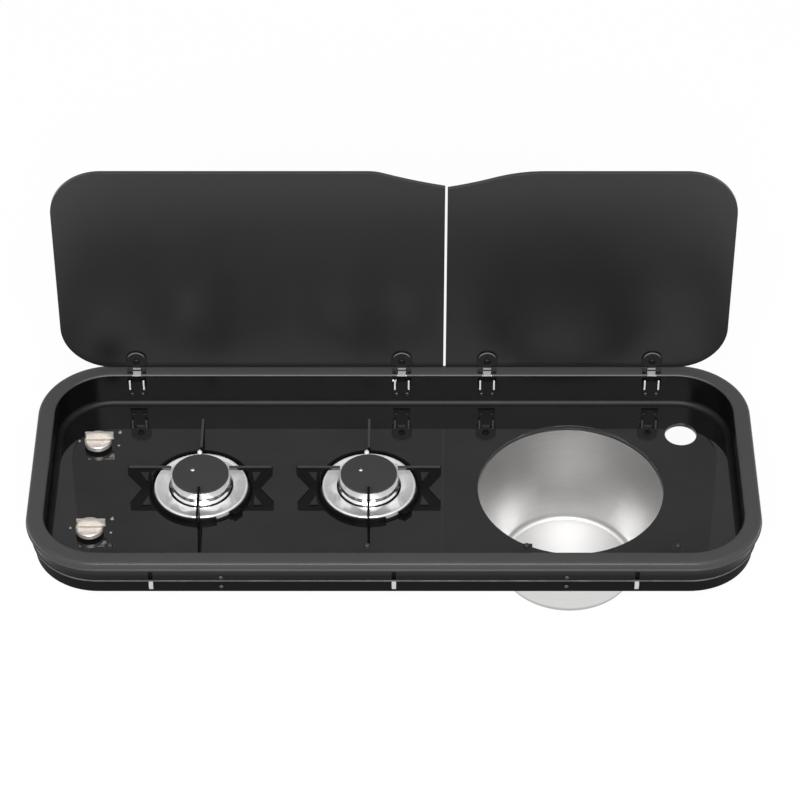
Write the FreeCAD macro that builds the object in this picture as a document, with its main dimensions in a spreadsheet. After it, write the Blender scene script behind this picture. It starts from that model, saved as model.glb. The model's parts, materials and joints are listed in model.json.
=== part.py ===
import FreeCAD, Part
import math
import os

import Sketcher

# Drop-in hob and sink for a camper kitchen: a rimmed frame round a sheet of black glass with two
# gas burners, a round sink, a tap hole and two split glass lids that fold up behind it.
# X runs right, Y back and Z up. The origin is the middle of the frame at worktop height.

doc = FreeCAD.newDocument("hob_and_sink")
sheet = doc.addObject("Spreadsheet::Sheet", "Sizes")

# Driving dimensions in millimetres and degrees. A name that ends in _top, _floor or _z is a height
# over the worktop, so it is negative below it.
SIZES = {
    # frame
    "frame_width": 900.0,
    "frame_depth": 365.0,
    "frame_corner": 92.0,
    "rim_width": 22.5,
    "rim_top": 34.0,
    "rim_outer_radius": 5.0,
    "rim_inner_radius": 3.0,
    "lip_height": 12.0,
    "lip_overhang": 6.5,
    "frame_wall": 2.5,
    "worktop_seal_thick": 1.5,
    "worktop_seal_proud": 1.0,
    "skirt_gap": 0.3,
    "skirt_rise": 12.0,
    "ledge_reach": 13.5,
    # glass
    "glass_top": -13.0,
    "glass_thick": 5.0,
    "glass_gap": 0.5,
    "bead_radius": 6.8,
    # gaps along the row of controls, burners and sink; they share what the frame's width leaves
    "wall_knob_gap": 34.5,
    "knob_burner_gap": 26.0,
    "burner_gap": 29.6,
    "burner_sink_gap": 34.9,
    "sink_wall_gap": 80.0,
    # sink
    "sink_y": 0.0,
    "sink_hole_radius": 116.0,
    "sink_lip_inset": 1.0,
    "sink_depth": 133.0,
    "sink_base_radius": 84.0,
    "sink_base_fall": 3.0,
    "sink_base_round": 7.0,
    "sink_wall": 1.0,
    "sink_flange_width": 12.0,
    "sink_seal_thick": 1.5,
    "waste_radius": 14.0,
    "waste_wall": 1.5,
    "waste_flange_radius": 20.5,
    "waste_flange_thick": 1.2,
    "waste_tail_radius": 12.5,
    "waste_tail_length": 23.0,
    "waste_nut_radius": 19.0,
    "waste_nut_thick": 7.0,
    "waste_washer_thick": 2.0,
    "waste_fit": 0.3,
    # tap hole
    "tap_inset": 63.0,
    "tap_y": 100.0,
    "tap_hole_radius": 20.0,
    # hinges and lids
    "hinge_end_inset": 121.0,
    "hinge_split_inset": 54.5,
    "pivot_inset": 8.7,
    "pivot_drop": 3.3,
    "notch_width": 24.0,
    "notch_depth": 15.5,
    "notch_drop": 9.7,
    "notch_slot": 12.0,
    "notch_tab_depth": 3.0,
    "notch_tab_height": 4.0,
    "lid_thick": 5.0,
    "lid_side_gap": 5.0,
    "lid_end_gap": 3.0,
    "split_sink_gap": 29.3,
    "lid_split_gap": 3.0,
    "scoop_angle": 18.0,
    "scoop_end_angle": 11.0,
    "scoop_left_start": 96.0,
    "scoop_left_ease": 60.0,
    "scoop_right_start": 120.0,
    "scoop_right_ease": 200.0,
    "clamp_rise": 11.0,
    "clamp_radius": 3.7,
    "clamp_fit": 0.3,
    "clamp_screw_radius": 2.0,
    "clamp_head_radius": 4.5,
    "clamp_head_height": 2.2,
    "leaf_width": 26.0,
    "leaf_height": 24.0,
    "leaf_gap": 2.6,
    "leaf_thick": 2.0,
    "leaf_corner": 12.5,
    "neck_width": 10.4,
    "barrel_radius": 3.5,
    "hinge_pin_radius": 1.5,
    "running_fit": 0.05,
    "press_fit": 0.02,
    "bracket_width": 22.0,
    "bracket_floor": -2.0,
    "bracket_top": 24.0,
    "bracket_thick": 2.0,
    "bracket_screw_pitch": 13.6,
    "bracket_screw_z": 3.6,
    "ear_spread": 19.6,
    "ear_radius": 5.0,
    "ear_gap": 1.0,
    "ear_proud": 2.5,
    "ear_foot_z": 12.5,
    "ear_lid_gap": 0.5,
    "ear_nose": 1.0,
    "hinge_cap_radius": 10.0,
    "hinge_cap_thick": 2.0,
    "small_screw_radius": 1.5,
    "small_head_radius": 2.6,
    "small_head_height": 1.2,
    # lid buffers
    "buffer_end_inset": 106.0,
    "buffer_split_inset": 96.7,
    "buffer_gap": 0.3,
    "buffer_height": 6.5,
    "buffer_radius": 3.5,
    "buffer_reach": 26.0,
    "buffer_width": 14.0,
    "buffer_drop": 16.0,
    "buffer_plate": 1.5,
    # worktop clips and frame screws
    "clip_end_inset": 156.0,
    "clip_width": 5.4,
    "clip_window_floor": 3.0,
    "clip_window_height": 12.0,
    "clip_top": -2.0,
    "clip_height": 14.0,
    "clip_thick": 0.8,
    "clip_bulge": 3.0,
    "frame_screw_inset": 241.0,
    "frame_screw_upper_z": 6.0,
    "frame_screw_lower_z": -12.0,
    # gas parts under the glass
    "waste_bar": 2.0,
    "tray_ledge_gap": 2.0,
    "tray_sink_gap": 13.5,
    "tray_half_depth": 115.0,
    "tray_depth": 44.0,
    "tray_wall": 1.2,
    "tray_flange": 8.0,
    "tray_corner": 14.0,
    "rail_drop": 32.0,
    "rail_radius": 6.0,
    "rail_overrun": 16.0,
    "inlet_radius": 4.0,
    "inlet_reach": 35.0,
    "inlet_collar": 3.0,
    "pipe_drop": 22.0,
    "pipe_radius": 3.0,
    "pipe_wall": 1.0,
    "pipe_fit": 0.05,
    "pipe_bend": 24.0,
    "valve_radius": 12.0,
    "valve_height": 24.0,
    "valve_bore": 5.0,
    "valve_bore_floor": 6.0,
    "valve_outlet": 6.0,
    # controls
    "knob_spacing": 158.0,
    "knob_hole_radius": 7.0,
    "push_travel": 4.0,
    "push_spare": 0.3,
    "plunger_length": 4.0,
    "pivot_pin_radius": 1.5,
    "pivot_pin_length": 5.0,
    "stem_radius": 3.0,
    "stem_guide": 8.0,
    "knob_clearance": 0.7,
    "knob_radius": 17.0,
    "knob_disc": 6.5,
    "knob_recess": 2.3,
    "knob_edge": 2.5,
    "knob_bevel": 1.2,
    "grip_length": 36.0,
    "grip_width": 3.2,
    "grip_height": 11.3,
    "grip_offset": 2.5,
    "grip_corner": 1.5,
    "seal_gap": 0.4,
    "seal_land": 3.0,
    "seal_rise": 1.8,
    # burners
    "burner_y": 0.0,
    "burner_hole_radius": 47.5,
    "dish_radius": 58.5,
    "dish_rim_height": 6.0,
    "dish_rim_round": 1.5,
    "dish_shelf_radius": 36.5,
    "dish_shelf_drop": 1.2,
    "dish_floor_radius": 32.5,
    "dish_centre_radius": 26.0,
    "dish_sink": 13.0,
    "dish_thick": 1.2,
    "dish_hole_fit": 0.3,
    "neck_gap": 0.3,
    "neck_rise": 4.0,
    "flange_gap": 2.8,
    "flange_thick": 3.0,
    "flange_radius": 47.0,
    "pedestal_radius": 13.0,
    "cup_bore": 22.0,
    "mixer_bore": 7.0,
    "jet_radius": 5.0,
    "jet_length": 10.0,
    "head_height": 33.5,
    "head_throat": 20.0,
    "head_base_radius": 30.0,
    "head_ring_radius": 38.5,
    "head_port_radius": 34.0,
    "head_radius": 36.0,
    "head_bore": 26.0,
    "head_crown": 10.0,
    "head_ports": 4.5,
    "head_ring": 4.4,
    "head_step": 1.0,
    "head_ring_bevel": 2.0,
    "head_bevel": 0.6,
    "port_width": 5.5,
    "port_count": 20,
    "cap_radius": 35.0,
    "cap_thick": 1.5,
    "cap_round": 0.6,
    "cap_spigot": 3.0,
    "cap_fit": 0.3,
    "rivet_x": -10.0,
    "rivet_y": 7.0,
    "rivet_radius": 3.0,
    "rivet_rise": 1.0,
    "probe_orbit": 42.2,
    "probe_fit": 0.1,
    "probe_collar": 0.9,
    "spark_angle": 94.0,
    "spark_radius": 2.8,
    "spark_pin_radius": 1.1,
    "spark_tip": 2.0,
    "spark_tail": 2.5,
    "couple_angle": 50.0,
    "couple_radius": 2.0,
    # pan supports
    "support_ring_inner": 60.5,
    "support_ring_width": 3.5,
    "support_ring_height": 6.0,
    "support_thick": 3.0,
    "support_top": 24.5,
    "support_bar": 5.0,
    "support_bar_inner": 36.0,
    "support_reach": 90.0,
    "support_foot": 73.5,
    "support_tip_height": 13.5,
    "support_nose": 2.0,
    "support_strut": 6.0,
    "ring_gap_start": -70.0,
    "ring_gap_end": -53.0,
    "ring_gap_depth": 4.5,
    "lug_angle": -45.0,
    "lug_width": 13.0,
    "lug_reach": 5.0,
}

for row, (name, number) in enumerate(SIZES.items(), start=1):
    sheet.set(f"A{row}", name)
    sheet.set(f"B{row}", str(number))
    sheet.setAlias(f"B{row}", name)
doc.recompute()


class Size:
    """A number together with the sheet expression that gives it."""

    def __init__(self, number, text):
        self.number = number
        self.text = text

    def __add__(self, other):
        other = as_size(other)
        return Size(self.number + other.number, f"({self.text} + {other.text})")

    def __sub__(self, other):
        other = as_size(other)
        return Size(self.number - other.number, f"({self.text} - {other.text})")

    def __mul__(self, other):
        other = as_size(other)
        return Size(self.number * other.number, f"({self.text} * {other.text})")

    def __truediv__(self, other):
        other = as_size(other)
        return Size(self.number / other.number, f"({self.text} / {other.text})")

    def __neg__(self):
        return Size(-self.number, f"(0 - {self.text})")

    def __radd__(self, other):
        return as_size(other) + self

    def __rsub__(self, other):
        return as_size(other) - self

    def __rmul__(self, other):
        return as_size(other) * self


def as_size(value):
    return value if isinstance(value, Size) else Size(value, str(value))


def sine(angle):
    return Size(math.sin(math.radians(angle.number)), f"sin({angle.text} * 1 deg)")


def cosine(angle):
    return Size(math.cos(math.radians(angle.number)), f"cos({angle.text} * 1 deg)")


class Sheet:
    """Reads a driving dimension by its name."""

    def __getattr__(self, name):
        return Size(SIZES[name], f"Sizes.{name}")


S = Sheet()
SAME_EDGE = 0.01
nodes = []


def bind(item, path, value):
    item.setExpression(path, as_size(value).text)


def new_body(label, x=0, y=0, z=0):
    body = doc.addObject("PartDesign::Body", label)
    for axis, value in zip("xyz", (x, y, z)):
        bind(body, f"Placement.Base.{axis}", value)
    return body


def new_node(label, x=0, y=0, z=0):
    body = new_body(label, x, y, z)
    nodes.append(body)
    return body


def new_sketch(body, name, role, offset=0):
    plane = next(item for item in body.Origin.OriginFeatures if item.Role == role)
    sketch = body.newObject("Sketcher::SketchObject", f"{body.Name}_{name}")
    sketch.AttachmentSupport = (plane, [""])
    sketch.MapMode = "FlatFace"
    bind(sketch, "AttachmentOffset.Base.z", offset)
    return sketch


def fix_point(limits, texts, geometry, end, x, y):
    """Hold one point of the sketch at x, y."""
    for kind, axis, value in (("DistanceX", -2, as_size(x)), ("DistanceY", -1, as_size(y))):
        if value.text == "0":
            limits.append(Sketcher.Constraint("PointOnObject", geometry, end, axis))
            continue
        texts[len(limits)] = value.text
        limits.append(Sketcher.Constraint(kind, -1, 1, geometry, end, value.number))


def arc_through(start, end, radius):
    """Arc of less than half a turn, with its centre left of the way for a positive radius."""
    chord = end - start
    side = math.copysign(1.0, radius)
    normal = FreeCAD.Vector(-chord.y, chord.x, 0).normalize() * side
    centre = (start + end) * 0.5 + normal * math.sqrt(max(radius ** 2 - (chord.Length / 2) ** 2, 0))
    first, last = (start, end) if side > 0 else (end, start)
    angles = [math.atan2(spot.y - centre.y, spot.x - centre.x) for spot in (first, last)]
    if angles[1] < angles[0]:
        angles[1] += 2 * math.pi
    circle = Part.Circle(centre, FreeCAD.Vector(0, 0, 1), abs(radius))
    return Part.ArcOfCircle(circle, *angles)


def add_loop(sketch, points, closed=True):
    """Run of sides. A point is (x, y) after a straight side, or (x, y, radius) after an arc."""
    base = sketch.GeometryCount
    spots = [FreeCAD.Vector(as_size(point[0]).number, as_size(point[1]).number, 0) for point in points]
    starts = spots[-1:] + spots[:-1]
    if not closed:
        first, points, spots, starts = points[0], points[1:], spots[1:], starts[1:]
    curves = []
    ends = []
    for point, start, end in zip(points, starts, spots):
        if len(point) == 2:
            curves.append(Part.LineSegment(start, end))
            ends.append((1, 2))
        else:
            radius = as_size(point[2]).number
            curves.append(arc_through(start, end, radius))
            ends.append((1, 2) if radius > 0 else (2, 1))
    sketch.addGeometry(curves, False)
    limits = []
    texts = {}
    if not closed:
        fix_point(limits, texts, base, ends[0][0], *first)
    for index, point in enumerate(points):
        after = (index + 1) % len(points)
        if closed or after > 0:
            limits.append(Sketcher.Constraint("Coincident", base + index, ends[index][1],
                                              base + after, ends[after][0]))
        fix_point(limits, texts, base + index, ends[index][1], point[0], point[1])
        if len(point) == 3:
            radius = as_size(point[2])
            positive = radius if radius.number > 0 else -radius
            texts[len(limits)] = positive.text
            limits.append(Sketcher.Constraint("Radius", base + index, positive.number))
    hold(sketch, limits, texts)


def add_circle(sketch, x, y, radius):
    base = sketch.GeometryCount
    x, y, radius = as_size(x), as_size(y), as_size(radius)
    centre = FreeCAD.Vector(x.number, y.number, 0)
    sketch.addGeometry(Part.Circle(centre, FreeCAD.Vector(0, 0, 1), radius.number), False)
    limits = []
    texts = {}
    fix_point(limits, texts, base, 3, x, y)
    texts[len(limits)] = radius.text
    limits.append(Sketcher.Constraint("Radius", base, radius.number))
    hold(sketch, limits, texts)


def hold(sketch, limits, texts):
    first = sketch.ConstraintCount
    sketch.addConstraint(limits)
    for index, text in texts.items():
        sketch.setExpression(f"Constraints[{first + index}]", text)


def box_loop(x0, x1, y0, y1):
    return [(x1, y0), (x1, y1), (x0, y1), (x0, y0)]


def rounded_loop(x0, x1, y0, y1, radius):
    return [
        (x1 - radius, y0), (x1, y0 + radius, radius),
        (x1, y1 - radius), (x1 - radius, y1, radius),
        (x0 + radius, y1), (x0, y1 - radius, radius),
        (x0, y0 + radius), (x0 + radius, y0, radius),
    ]


def pad(body, sketch, height, reverse=False, midplane=False):
    feature = body.newObject("PartDesign::Pad", f"{sketch.Name}_pad")
    feature.Profile = sketch
    bind(feature, "Length", height)
    feature.Reversed = reverse
    feature.Midplane = midplane
    return feature


def cut(body, sketch, depth, upward=False, midplane=False):
    """Pocket from the sketch plane, down unless upward is asked for."""
    feature = body.newObject("PartDesign::Pocket", f"{sketch.Name}_cut")
    feature.Profile = sketch
    bind(feature, "Length", depth)
    feature.Reversed = upward
    feature.Midplane = midplane
    return feature


def turned(body, name, points):
    """Solid of revolution about Z from a closed loop of (radius, height) points."""
    sketch = new_sketch(body, name, "XZ_Plane")
    add_loop(sketch, points)
    feature = body.newObject("PartDesign::Revolution", f"{sketch.Name}_turn")
    feature.Profile = sketch
    feature.ReferenceAxis = (sketch, ["V_Axis"])
    feature.Angle = 360
    return feature


def round_rings(body, feature, radius, rings):
    """Fillet the circular edges that lie at the given (radius, height) pairs."""
    doc.recompute()
    names = []
    for index, edge in enumerate(feature.Shape.Edges, start=1):
        if not isinstance(edge.Curve, Part.Circle):
            continue
        for ring_radius, height in rings:
            drift = abs(edge.Curve.Radius - ring_radius.number) + abs(edge.Curve.Center.z - height.number)
            if drift < SAME_EDGE:
                names.append(f"Edge{index}")
    fillet = body.newObject("PartDesign::Fillet", f"{feature.Name}_fillet")
    fillet.Base = (feature, names)
    bind(fillet, "Radius", radius)
    return fillet


def repeat_round(body, feature, sketch, axis, count):
    pattern = body.newObject("PartDesign::PolarPattern", f"{feature.Name}_round")
    pattern.Originals = [feature]
    pattern.Axis = (sketch, [axis])
    pattern.Angle = 360
    bind(pattern, "Occurrences", count)
    body.Tip = pattern
    return pattern


def group(label, members):
    """One node of separate solids."""
    bundle = doc.addObject("Part::Compound", label)
    bundle.Links = members
    nodes.append(bundle)
    return bundle


# Levels and offsets that several pieces share
half_width = S.frame_width / 2
half_depth = S.frame_depth / 2
lip_floor = S.rim_top - S.lip_height
wall_inset = S.lip_overhang + S.frame_wall
skirt_inset = wall_inset + S.skirt_gap
ledge_top = S.glass_top - S.glass_thick
ledge_floor = ledge_top - S.frame_wall
ledge_inset = S.rim_width + S.ledge_reach
wall_front = S.rim_width - half_depth
wall_back = half_depth - S.rim_width
pivot_y = wall_back + S.pivot_inset
pivot_z = S.rim_top - S.lid_thick - S.pivot_drop
rail_z = ledge_top - S.rail_drop
pipe_z = ledge_top - S.pipe_drop
wall_side = half_width - S.rim_width

# Row along X: the controls, the burners and the sink take their widths, and the gaps share the rest
bowl_lip = S.sink_hole_radius - S.sink_lip_inset
bowl_flange = bowl_lip + S.sink_flange_width
knob_half = S.grip_length / 2
row_widths = 2 * (knob_half + 2 * S.support_reach + bowl_flange)
row_gaps = S.wall_knob_gap + S.knob_burner_gap + S.burner_gap + S.burner_sink_gap + S.sink_wall_gap
spread = (2 * wall_side - row_widths) / row_gaps
sink_x = wall_side - S.sink_wall_gap * spread - bowl_flange
sink_left = sink_x - bowl_flange
right_burner_x = sink_left - S.burner_sink_gap * spread - S.support_reach
left_burner_x = right_burner_x - S.burner_gap * spread - 2 * S.support_reach
knob_x = left_burner_x - S.support_reach - S.knob_burner_gap * spread - knob_half
tap_x = wall_side - S.tap_inset
split_x = sink_left - S.split_sink_gap
burner_places = {"left": left_burner_x, "right": right_burner_x}
burner_feeds = {"left": -1, "right": 1}
knob_places = {"rear": S.knob_spacing / 2, "front": -S.knob_spacing / 2}

# Places that follow the ends of the frame and the split between the lids
hinge_end = half_width - S.hinge_end_inset
buffer_end = half_width - S.buffer_end_inset
clip_end = half_width - S.clip_end_inset
frame_screw_end = half_width - S.frame_screw_inset
left_hinges = [-hinge_end, split_x - S.hinge_split_inset]
right_hinges = [split_x + S.hinge_split_inset, hinge_end]
all_hinges = left_hinges + right_hinges
buffer_places = [-buffer_end, split_x - S.buffer_split_inset, split_x + S.buffer_split_inset, buffer_end]
clip_places = [-clip_end, as_size(0), clip_end]
frame_screw_places = [-frame_screw_end, frame_screw_end]


def swept_ring(label, section):
    """Frame moulding: a section of (inset, height) points carried round the frame's outer edge."""
    body = new_node(label)
    path = new_sketch(body, "path", "XY_Plane")
    edge = rounded_loop(-half_width, half_width, -half_depth, half_depth, S.frame_corner)
    add_loop(path, [(0, -half_depth)] + edge)
    profile = new_sketch(body, "section", "YZ_Plane")
    add_loop(profile, [(point[0] - half_depth, *point[1:]) for point in section])
    sweep = body.newObject("PartDesign::AdditivePipe", f"{label}_sweep")
    sweep.Profile = profile
    sweep.Spine = path
    return body


surround = swept_ring("surround_frame", [
    (S.lip_overhang, S.worktop_seal_thick),
    (S.lip_overhang, lip_floor),
    (as_size(0), lip_floor),
    (as_size(0), S.rim_top - S.rim_outer_radius),
    (S.rim_outer_radius, S.rim_top, -S.rim_outer_radius),
    (S.rim_width - S.rim_inner_radius, S.rim_top),
    (S.rim_width, S.rim_top - S.rim_inner_radius, -S.rim_inner_radius),
    (S.rim_width, ledge_top),
    (S.rim_width - S.frame_wall, ledge_top),
    (S.rim_width - S.frame_wall, S.rim_top - S.frame_wall),
    (S.frame_wall, S.rim_top - S.frame_wall),
    (S.frame_wall, lip_floor + S.frame_wall),
    (wall_inset, lip_floor + S.frame_wall),
    (wall_inset, S.worktop_seal_thick),
])

base = swept_ring("base_frame", [
    (skirt_inset, ledge_floor),
    (ledge_inset, ledge_floor),
    (ledge_inset, ledge_top),
    (skirt_inset + S.frame_wall, ledge_top),
    (skirt_inset + S.frame_wall, S.skirt_rise),
    (skirt_inset, S.skirt_rise),
])

swept_ring("worktop_seal", [
    (S.lip_overhang - S.worktop_seal_proud, as_size(0)),
    (wall_inset, as_size(0)),
    (wall_inset, S.worktop_seal_thick),
    (S.lip_overhang - S.worktop_seal_proud, S.worktop_seal_thick),
])

swept_ring("glass_bead", [
    (S.rim_width, S.glass_top),
    (S.rim_width + S.bead_radius, S.glass_top),
    (S.rim_width, S.glass_top + S.bead_radius, S.bead_radius),
])


# Openings in the surround: hinge notches in the back rim, clip windows in the outer wall
def front_sketch(body, name, y):
    """Sketch in the X, Z plane that passes through y and looks towards the front."""
    return new_sketch(body, name, "XZ_Plane", -as_size(y))


notch_floor = pivot_z - S.notch_drop
tab_back = wall_back + S.notch_tab_depth
notches = new_sketch(surround, "notches", "XY_Plane", S.rim_top)
ear_windows = front_sketch(surround, "ear_windows", wall_back)
for hinge_x in all_hinges:
    notch_left = hinge_x - S.notch_width / 2
    notch_right = hinge_x + S.notch_width / 2
    slot_left = hinge_x - S.notch_slot / 2
    slot_right = hinge_x + S.notch_slot / 2
    add_loop(notches, [
        (slot_left, wall_back - S.frame_wall),
        (slot_right, wall_back - S.frame_wall),
        (slot_right, tab_back),
        (notch_right, tab_back),
        (notch_right, wall_back + S.notch_depth),
        (notch_left, wall_back + S.notch_depth),
        (notch_left, tab_back),
        (slot_left, tab_back),
    ])
    add_loop(ear_windows, box_loop(notch_left, notch_right, notch_floor, S.rim_top - S.notch_tab_height))
cut(surround, notches, S.rim_top - notch_floor)
cut(surround, ear_windows, S.notch_tab_depth + S.frame_wall)

window_depth = wall_inset + S.skirt_gap / 2
for side, y in (("front", -half_depth), ("back", half_depth)):
    windows = front_sketch(surround, f"{side}_windows", y)
    for clip_x in clip_places:
        add_loop(windows, box_loop(clip_x - S.clip_width / 2, clip_x + S.clip_width / 2,
                                   S.clip_window_floor, S.clip_window_floor + S.clip_window_height))
    for screw_x in frame_screw_places:
        add_circle(windows, screw_x, S.frame_screw_upper_z, S.small_screw_radius + S.pipe_fit)
    cut(surround, windows, window_depth, upward=(side == "back"))
    skirt_holes = front_sketch(base, f"{side}_screw_holes", y)
    for screw_x in frame_screw_places:
        add_circle(skirt_holes, screw_x, S.frame_screw_upper_z, S.small_screw_radius + S.pipe_fit)
        add_circle(skirt_holes, screw_x, S.frame_screw_lower_z, S.small_screw_radius + S.pipe_fit)
    cut(base, skirt_holes, skirt_inset + 2 * S.frame_wall, upward=(side == "back"))

bracket_holes = front_sketch(surround, "bracket_holes", wall_back)
for hinge_x in all_hinges:
    for side in (-1, 1):
        add_circle(bracket_holes, hinge_x + side * S.bracket_screw_pitch / 2, S.bracket_screw_z,
                   S.small_screw_radius + S.pipe_fit)
cut(surround, bracket_holes, 2 * S.frame_wall)

# Glass plate
glass_x = half_width - S.rim_width - S.glass_gap
glass_y = half_depth - S.rim_width - S.glass_gap
glass_corner = S.frame_corner - S.rim_width - S.glass_gap
glass = new_node("hob_glass")
plate = new_sketch(glass, "plate", "XY_Plane", ledge_top)
add_loop(plate, rounded_loop(-glass_x, glass_x, -glass_y, glass_y, glass_corner))
add_circle(plate, sink_x, S.sink_y, S.sink_hole_radius)
add_circle(plate, tap_x, S.tap_y, S.tap_hole_radius)
for burner_x in burner_places.values():
    add_circle(plate, burner_x, S.burner_y, S.burner_hole_radius)
for knob_y in knob_places.values():
    add_circle(plate, knob_x, knob_y, S.knob_hole_radius)
pad(glass, plate, S.glass_thick)

# Sink bowl, bonded under the glass with a gasket
bowl_top = ledge_top - S.sink_seal_thick
bowl_floor = S.glass_top - S.sink_depth
waste_seat = bowl_floor - S.sink_base_fall
waste_hole = S.waste_radius + S.waste_fit
waste_flat = S.waste_flange_radius + S.waste_fit

bowl = new_node("sink_bowl", sink_x, S.sink_y)
shell = turned(bowl, "shell", [
    (waste_hole, waste_seat),
    (waste_flat, waste_seat),
    (S.sink_base_radius, bowl_floor),
    (bowl_lip, bowl_top),
    (bowl_flange, bowl_top),
    (bowl_flange, bowl_top - S.sink_wall),
    (bowl_lip + S.sink_wall, bowl_top - S.sink_wall),
    (S.sink_base_radius + S.sink_wall, bowl_floor - S.sink_wall),
    (waste_flat, waste_seat - S.sink_wall),
    (waste_hole, waste_seat - S.sink_wall),
])
inner_foot = round_rings(bowl, shell, S.sink_base_round, [(S.sink_base_radius, bowl_floor)])
round_rings(bowl, inner_foot, S.sink_base_round + S.sink_wall,
            [(S.sink_base_radius + S.sink_wall, bowl_floor - S.sink_wall)])

gasket = new_node("sink_gasket", sink_x, S.sink_y)
turned(gasket, "ring", box_loop(S.sink_hole_radius + S.sink_lip_inset, bowl_flange, bowl_top, ledge_top))

# Waste outlet through the bowl's floor
waste = new_node("waste_outlet", sink_x, S.sink_y)
washer_top = waste_seat - S.sink_wall
nut_top = washer_top - S.waste_washer_thick
waste_bore = S.waste_tail_radius - S.waste_wall
waste_neck = nut_top - S.waste_nut_thick - S.waste_wall
waste_end = waste_neck - S.waste_tail_length
turned(waste, "tube", [
    (waste_bore, waste_end),
    (S.waste_tail_radius, waste_end),
    (S.waste_tail_radius, waste_neck),
    (S.waste_radius, waste_neck),
    (S.waste_radius, waste_seat),
    (S.waste_flange_radius, waste_seat),
    (S.waste_flange_radius - S.waste_flange_thick, waste_seat + S.waste_flange_thick),
    (waste_bore + S.waste_flange_thick, waste_seat + S.waste_flange_thick),
    (waste_bore, waste_seat),
])
bars = new_sketch(waste, "bars", "XY_Plane", waste_seat - S.waste_bar)
add_loop(bars, box_loop(-waste_bore - S.waste_wall / 2, waste_bore + S.waste_wall / 2,
                        -S.waste_bar / 2, S.waste_bar / 2))
cross = pad(waste, bars, S.waste_bar)
repeat_round(waste, cross, bars, "N_Axis", 4)

washer = new_node("waste_washer", sink_x, S.sink_y)
turned(washer, "ring", box_loop(waste_hole, S.waste_nut_radius, nut_top, washer_top))

nut = new_node("waste_nut", sink_x, S.sink_y)
hexagon = new_sketch(nut, "hexagon", "XY_Plane", nut_top)
add_loop(hexagon, [(S.waste_nut_radius * cosine(as_size(turn)), S.waste_nut_radius * sine(as_size(turn)))
                   for turn in range(0, 360, 60)])
add_circle(hexagon, 0, 0, waste_hole)
pad(nut, hexagon, S.waste_nut_thick, reverse=True)

# Pressed steel tray that carries the gas parts under the glass
tray_floor = ledge_top - S.tray_depth
tray_left = ledge_inset + S.tray_ledge_gap + S.tray_flange - half_width
tray_right = sink_left - S.tray_sink_gap - S.tray_flange
tray = new_node("burner_tray")
rim = new_sketch(tray, "rim", "XY_Plane", ledge_top)
add_loop(rim, rounded_loop(tray_left - S.tray_flange, tray_right + S.tray_flange,
                           -S.tray_half_depth - S.tray_flange, S.tray_half_depth + S.tray_flange,
                           S.tray_corner + S.tray_flange))
pad(tray, rim, S.tray_wall, reverse=True)
outside = new_sketch(tray, "outside", "XY_Plane", ledge_top)
add_loop(outside, rounded_loop(tray_left, tray_right, -S.tray_half_depth, S.tray_half_depth,
                               S.tray_corner))
pad(tray, outside, S.tray_depth, reverse=True)
inside = new_sketch(tray, "inside", "XY_Plane", ledge_top)
add_loop(inside, rounded_loop(tray_left + S.tray_wall, tray_right - S.tray_wall,
                              S.tray_wall - S.tray_half_depth, S.tray_half_depth - S.tray_wall,
                              S.tray_corner - S.tray_wall))
cut(tray, inside, S.tray_depth - S.tray_wall)
inlet_hole = front_sketch(tray, "inlet_hole", S.tray_half_depth)
add_circle(inlet_hole, knob_x, rail_z, S.inlet_radius + S.pipe_fit)
cut(tray, inlet_hole, 2 * S.tray_wall, midplane=True)

# Burners
dish_top = S.glass_top + S.dish_rim_height
dish_floor = S.glass_top - S.dish_sink
burner_foot = tray_floor + S.tray_wall
flange_floor = dish_floor - S.dish_thick - S.flange_gap - S.flange_thick
flange_top = flange_floor + S.flange_thick
head_seat = dish_floor + S.neck_rise
head_top = head_seat + S.head_height
cap_top = head_top + S.cap_thick
jet_floor = pipe_z - S.jet_length / 2
jet_top = pipe_z + S.jet_length / 2


def spill_dish(label, x):
    """Polished drip dish: a rolled rim on the glass, a flat shelf and a well sunk through it."""
    dish = new_node(label, x, S.burner_y)
    shelf_z = dish_top - S.dish_shelf_drop
    rim_inner = S.dish_radius - 2 * S.dish_rim_round
    turned(dish, "bowl", [
        (S.dish_radius, S.glass_top),
        (S.dish_radius, dish_top - S.dish_rim_round),
        (S.dish_radius - S.dish_rim_round, dish_top, S.dish_rim_round),
        (rim_inner, dish_top),
        (rim_inner - S.dish_shelf_drop, shelf_z),
        (S.dish_shelf_radius, shelf_z),
        (S.dish_floor_radius, dish_floor),
        (S.dish_centre_radius, dish_floor),
        (S.dish_centre_radius, dish_floor - S.dish_thick),
        (S.dish_floor_radius + S.dish_thick, dish_floor - S.dish_thick),
        (S.dish_shelf_radius + S.dish_thick, shelf_z - S.dish_thick),
        (rim_inner - S.dish_shelf_drop + S.dish_thick, shelf_z - S.dish_thick),
        (rim_inner + S.dish_thick, dish_top - S.dish_thick),
        (S.dish_radius - S.dish_thick, dish_top - S.dish_thick),
        (S.dish_radius - S.dish_thick, S.glass_top),
    ])
    holes = new_sketch(dish, "holes", "XY_Plane", dish_top)
    probe_circles(holes, S.probe_fit + S.dish_hole_fit)
    cut(dish, holes, dish_top - dish_floor + 2 * S.dish_thick)


def probe_spot(angle):
    return S.probe_orbit * cosine(angle), S.probe_orbit * sine(angle)


def probe_circles(sketch, fit):
    """Holes for the spark electrode and the thermocouple."""
    for angle, radius in ((S.spark_angle, S.spark_radius), (S.couple_angle, S.couple_radius)):
        add_circle(sketch, *probe_spot(angle), radius + fit)


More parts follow.
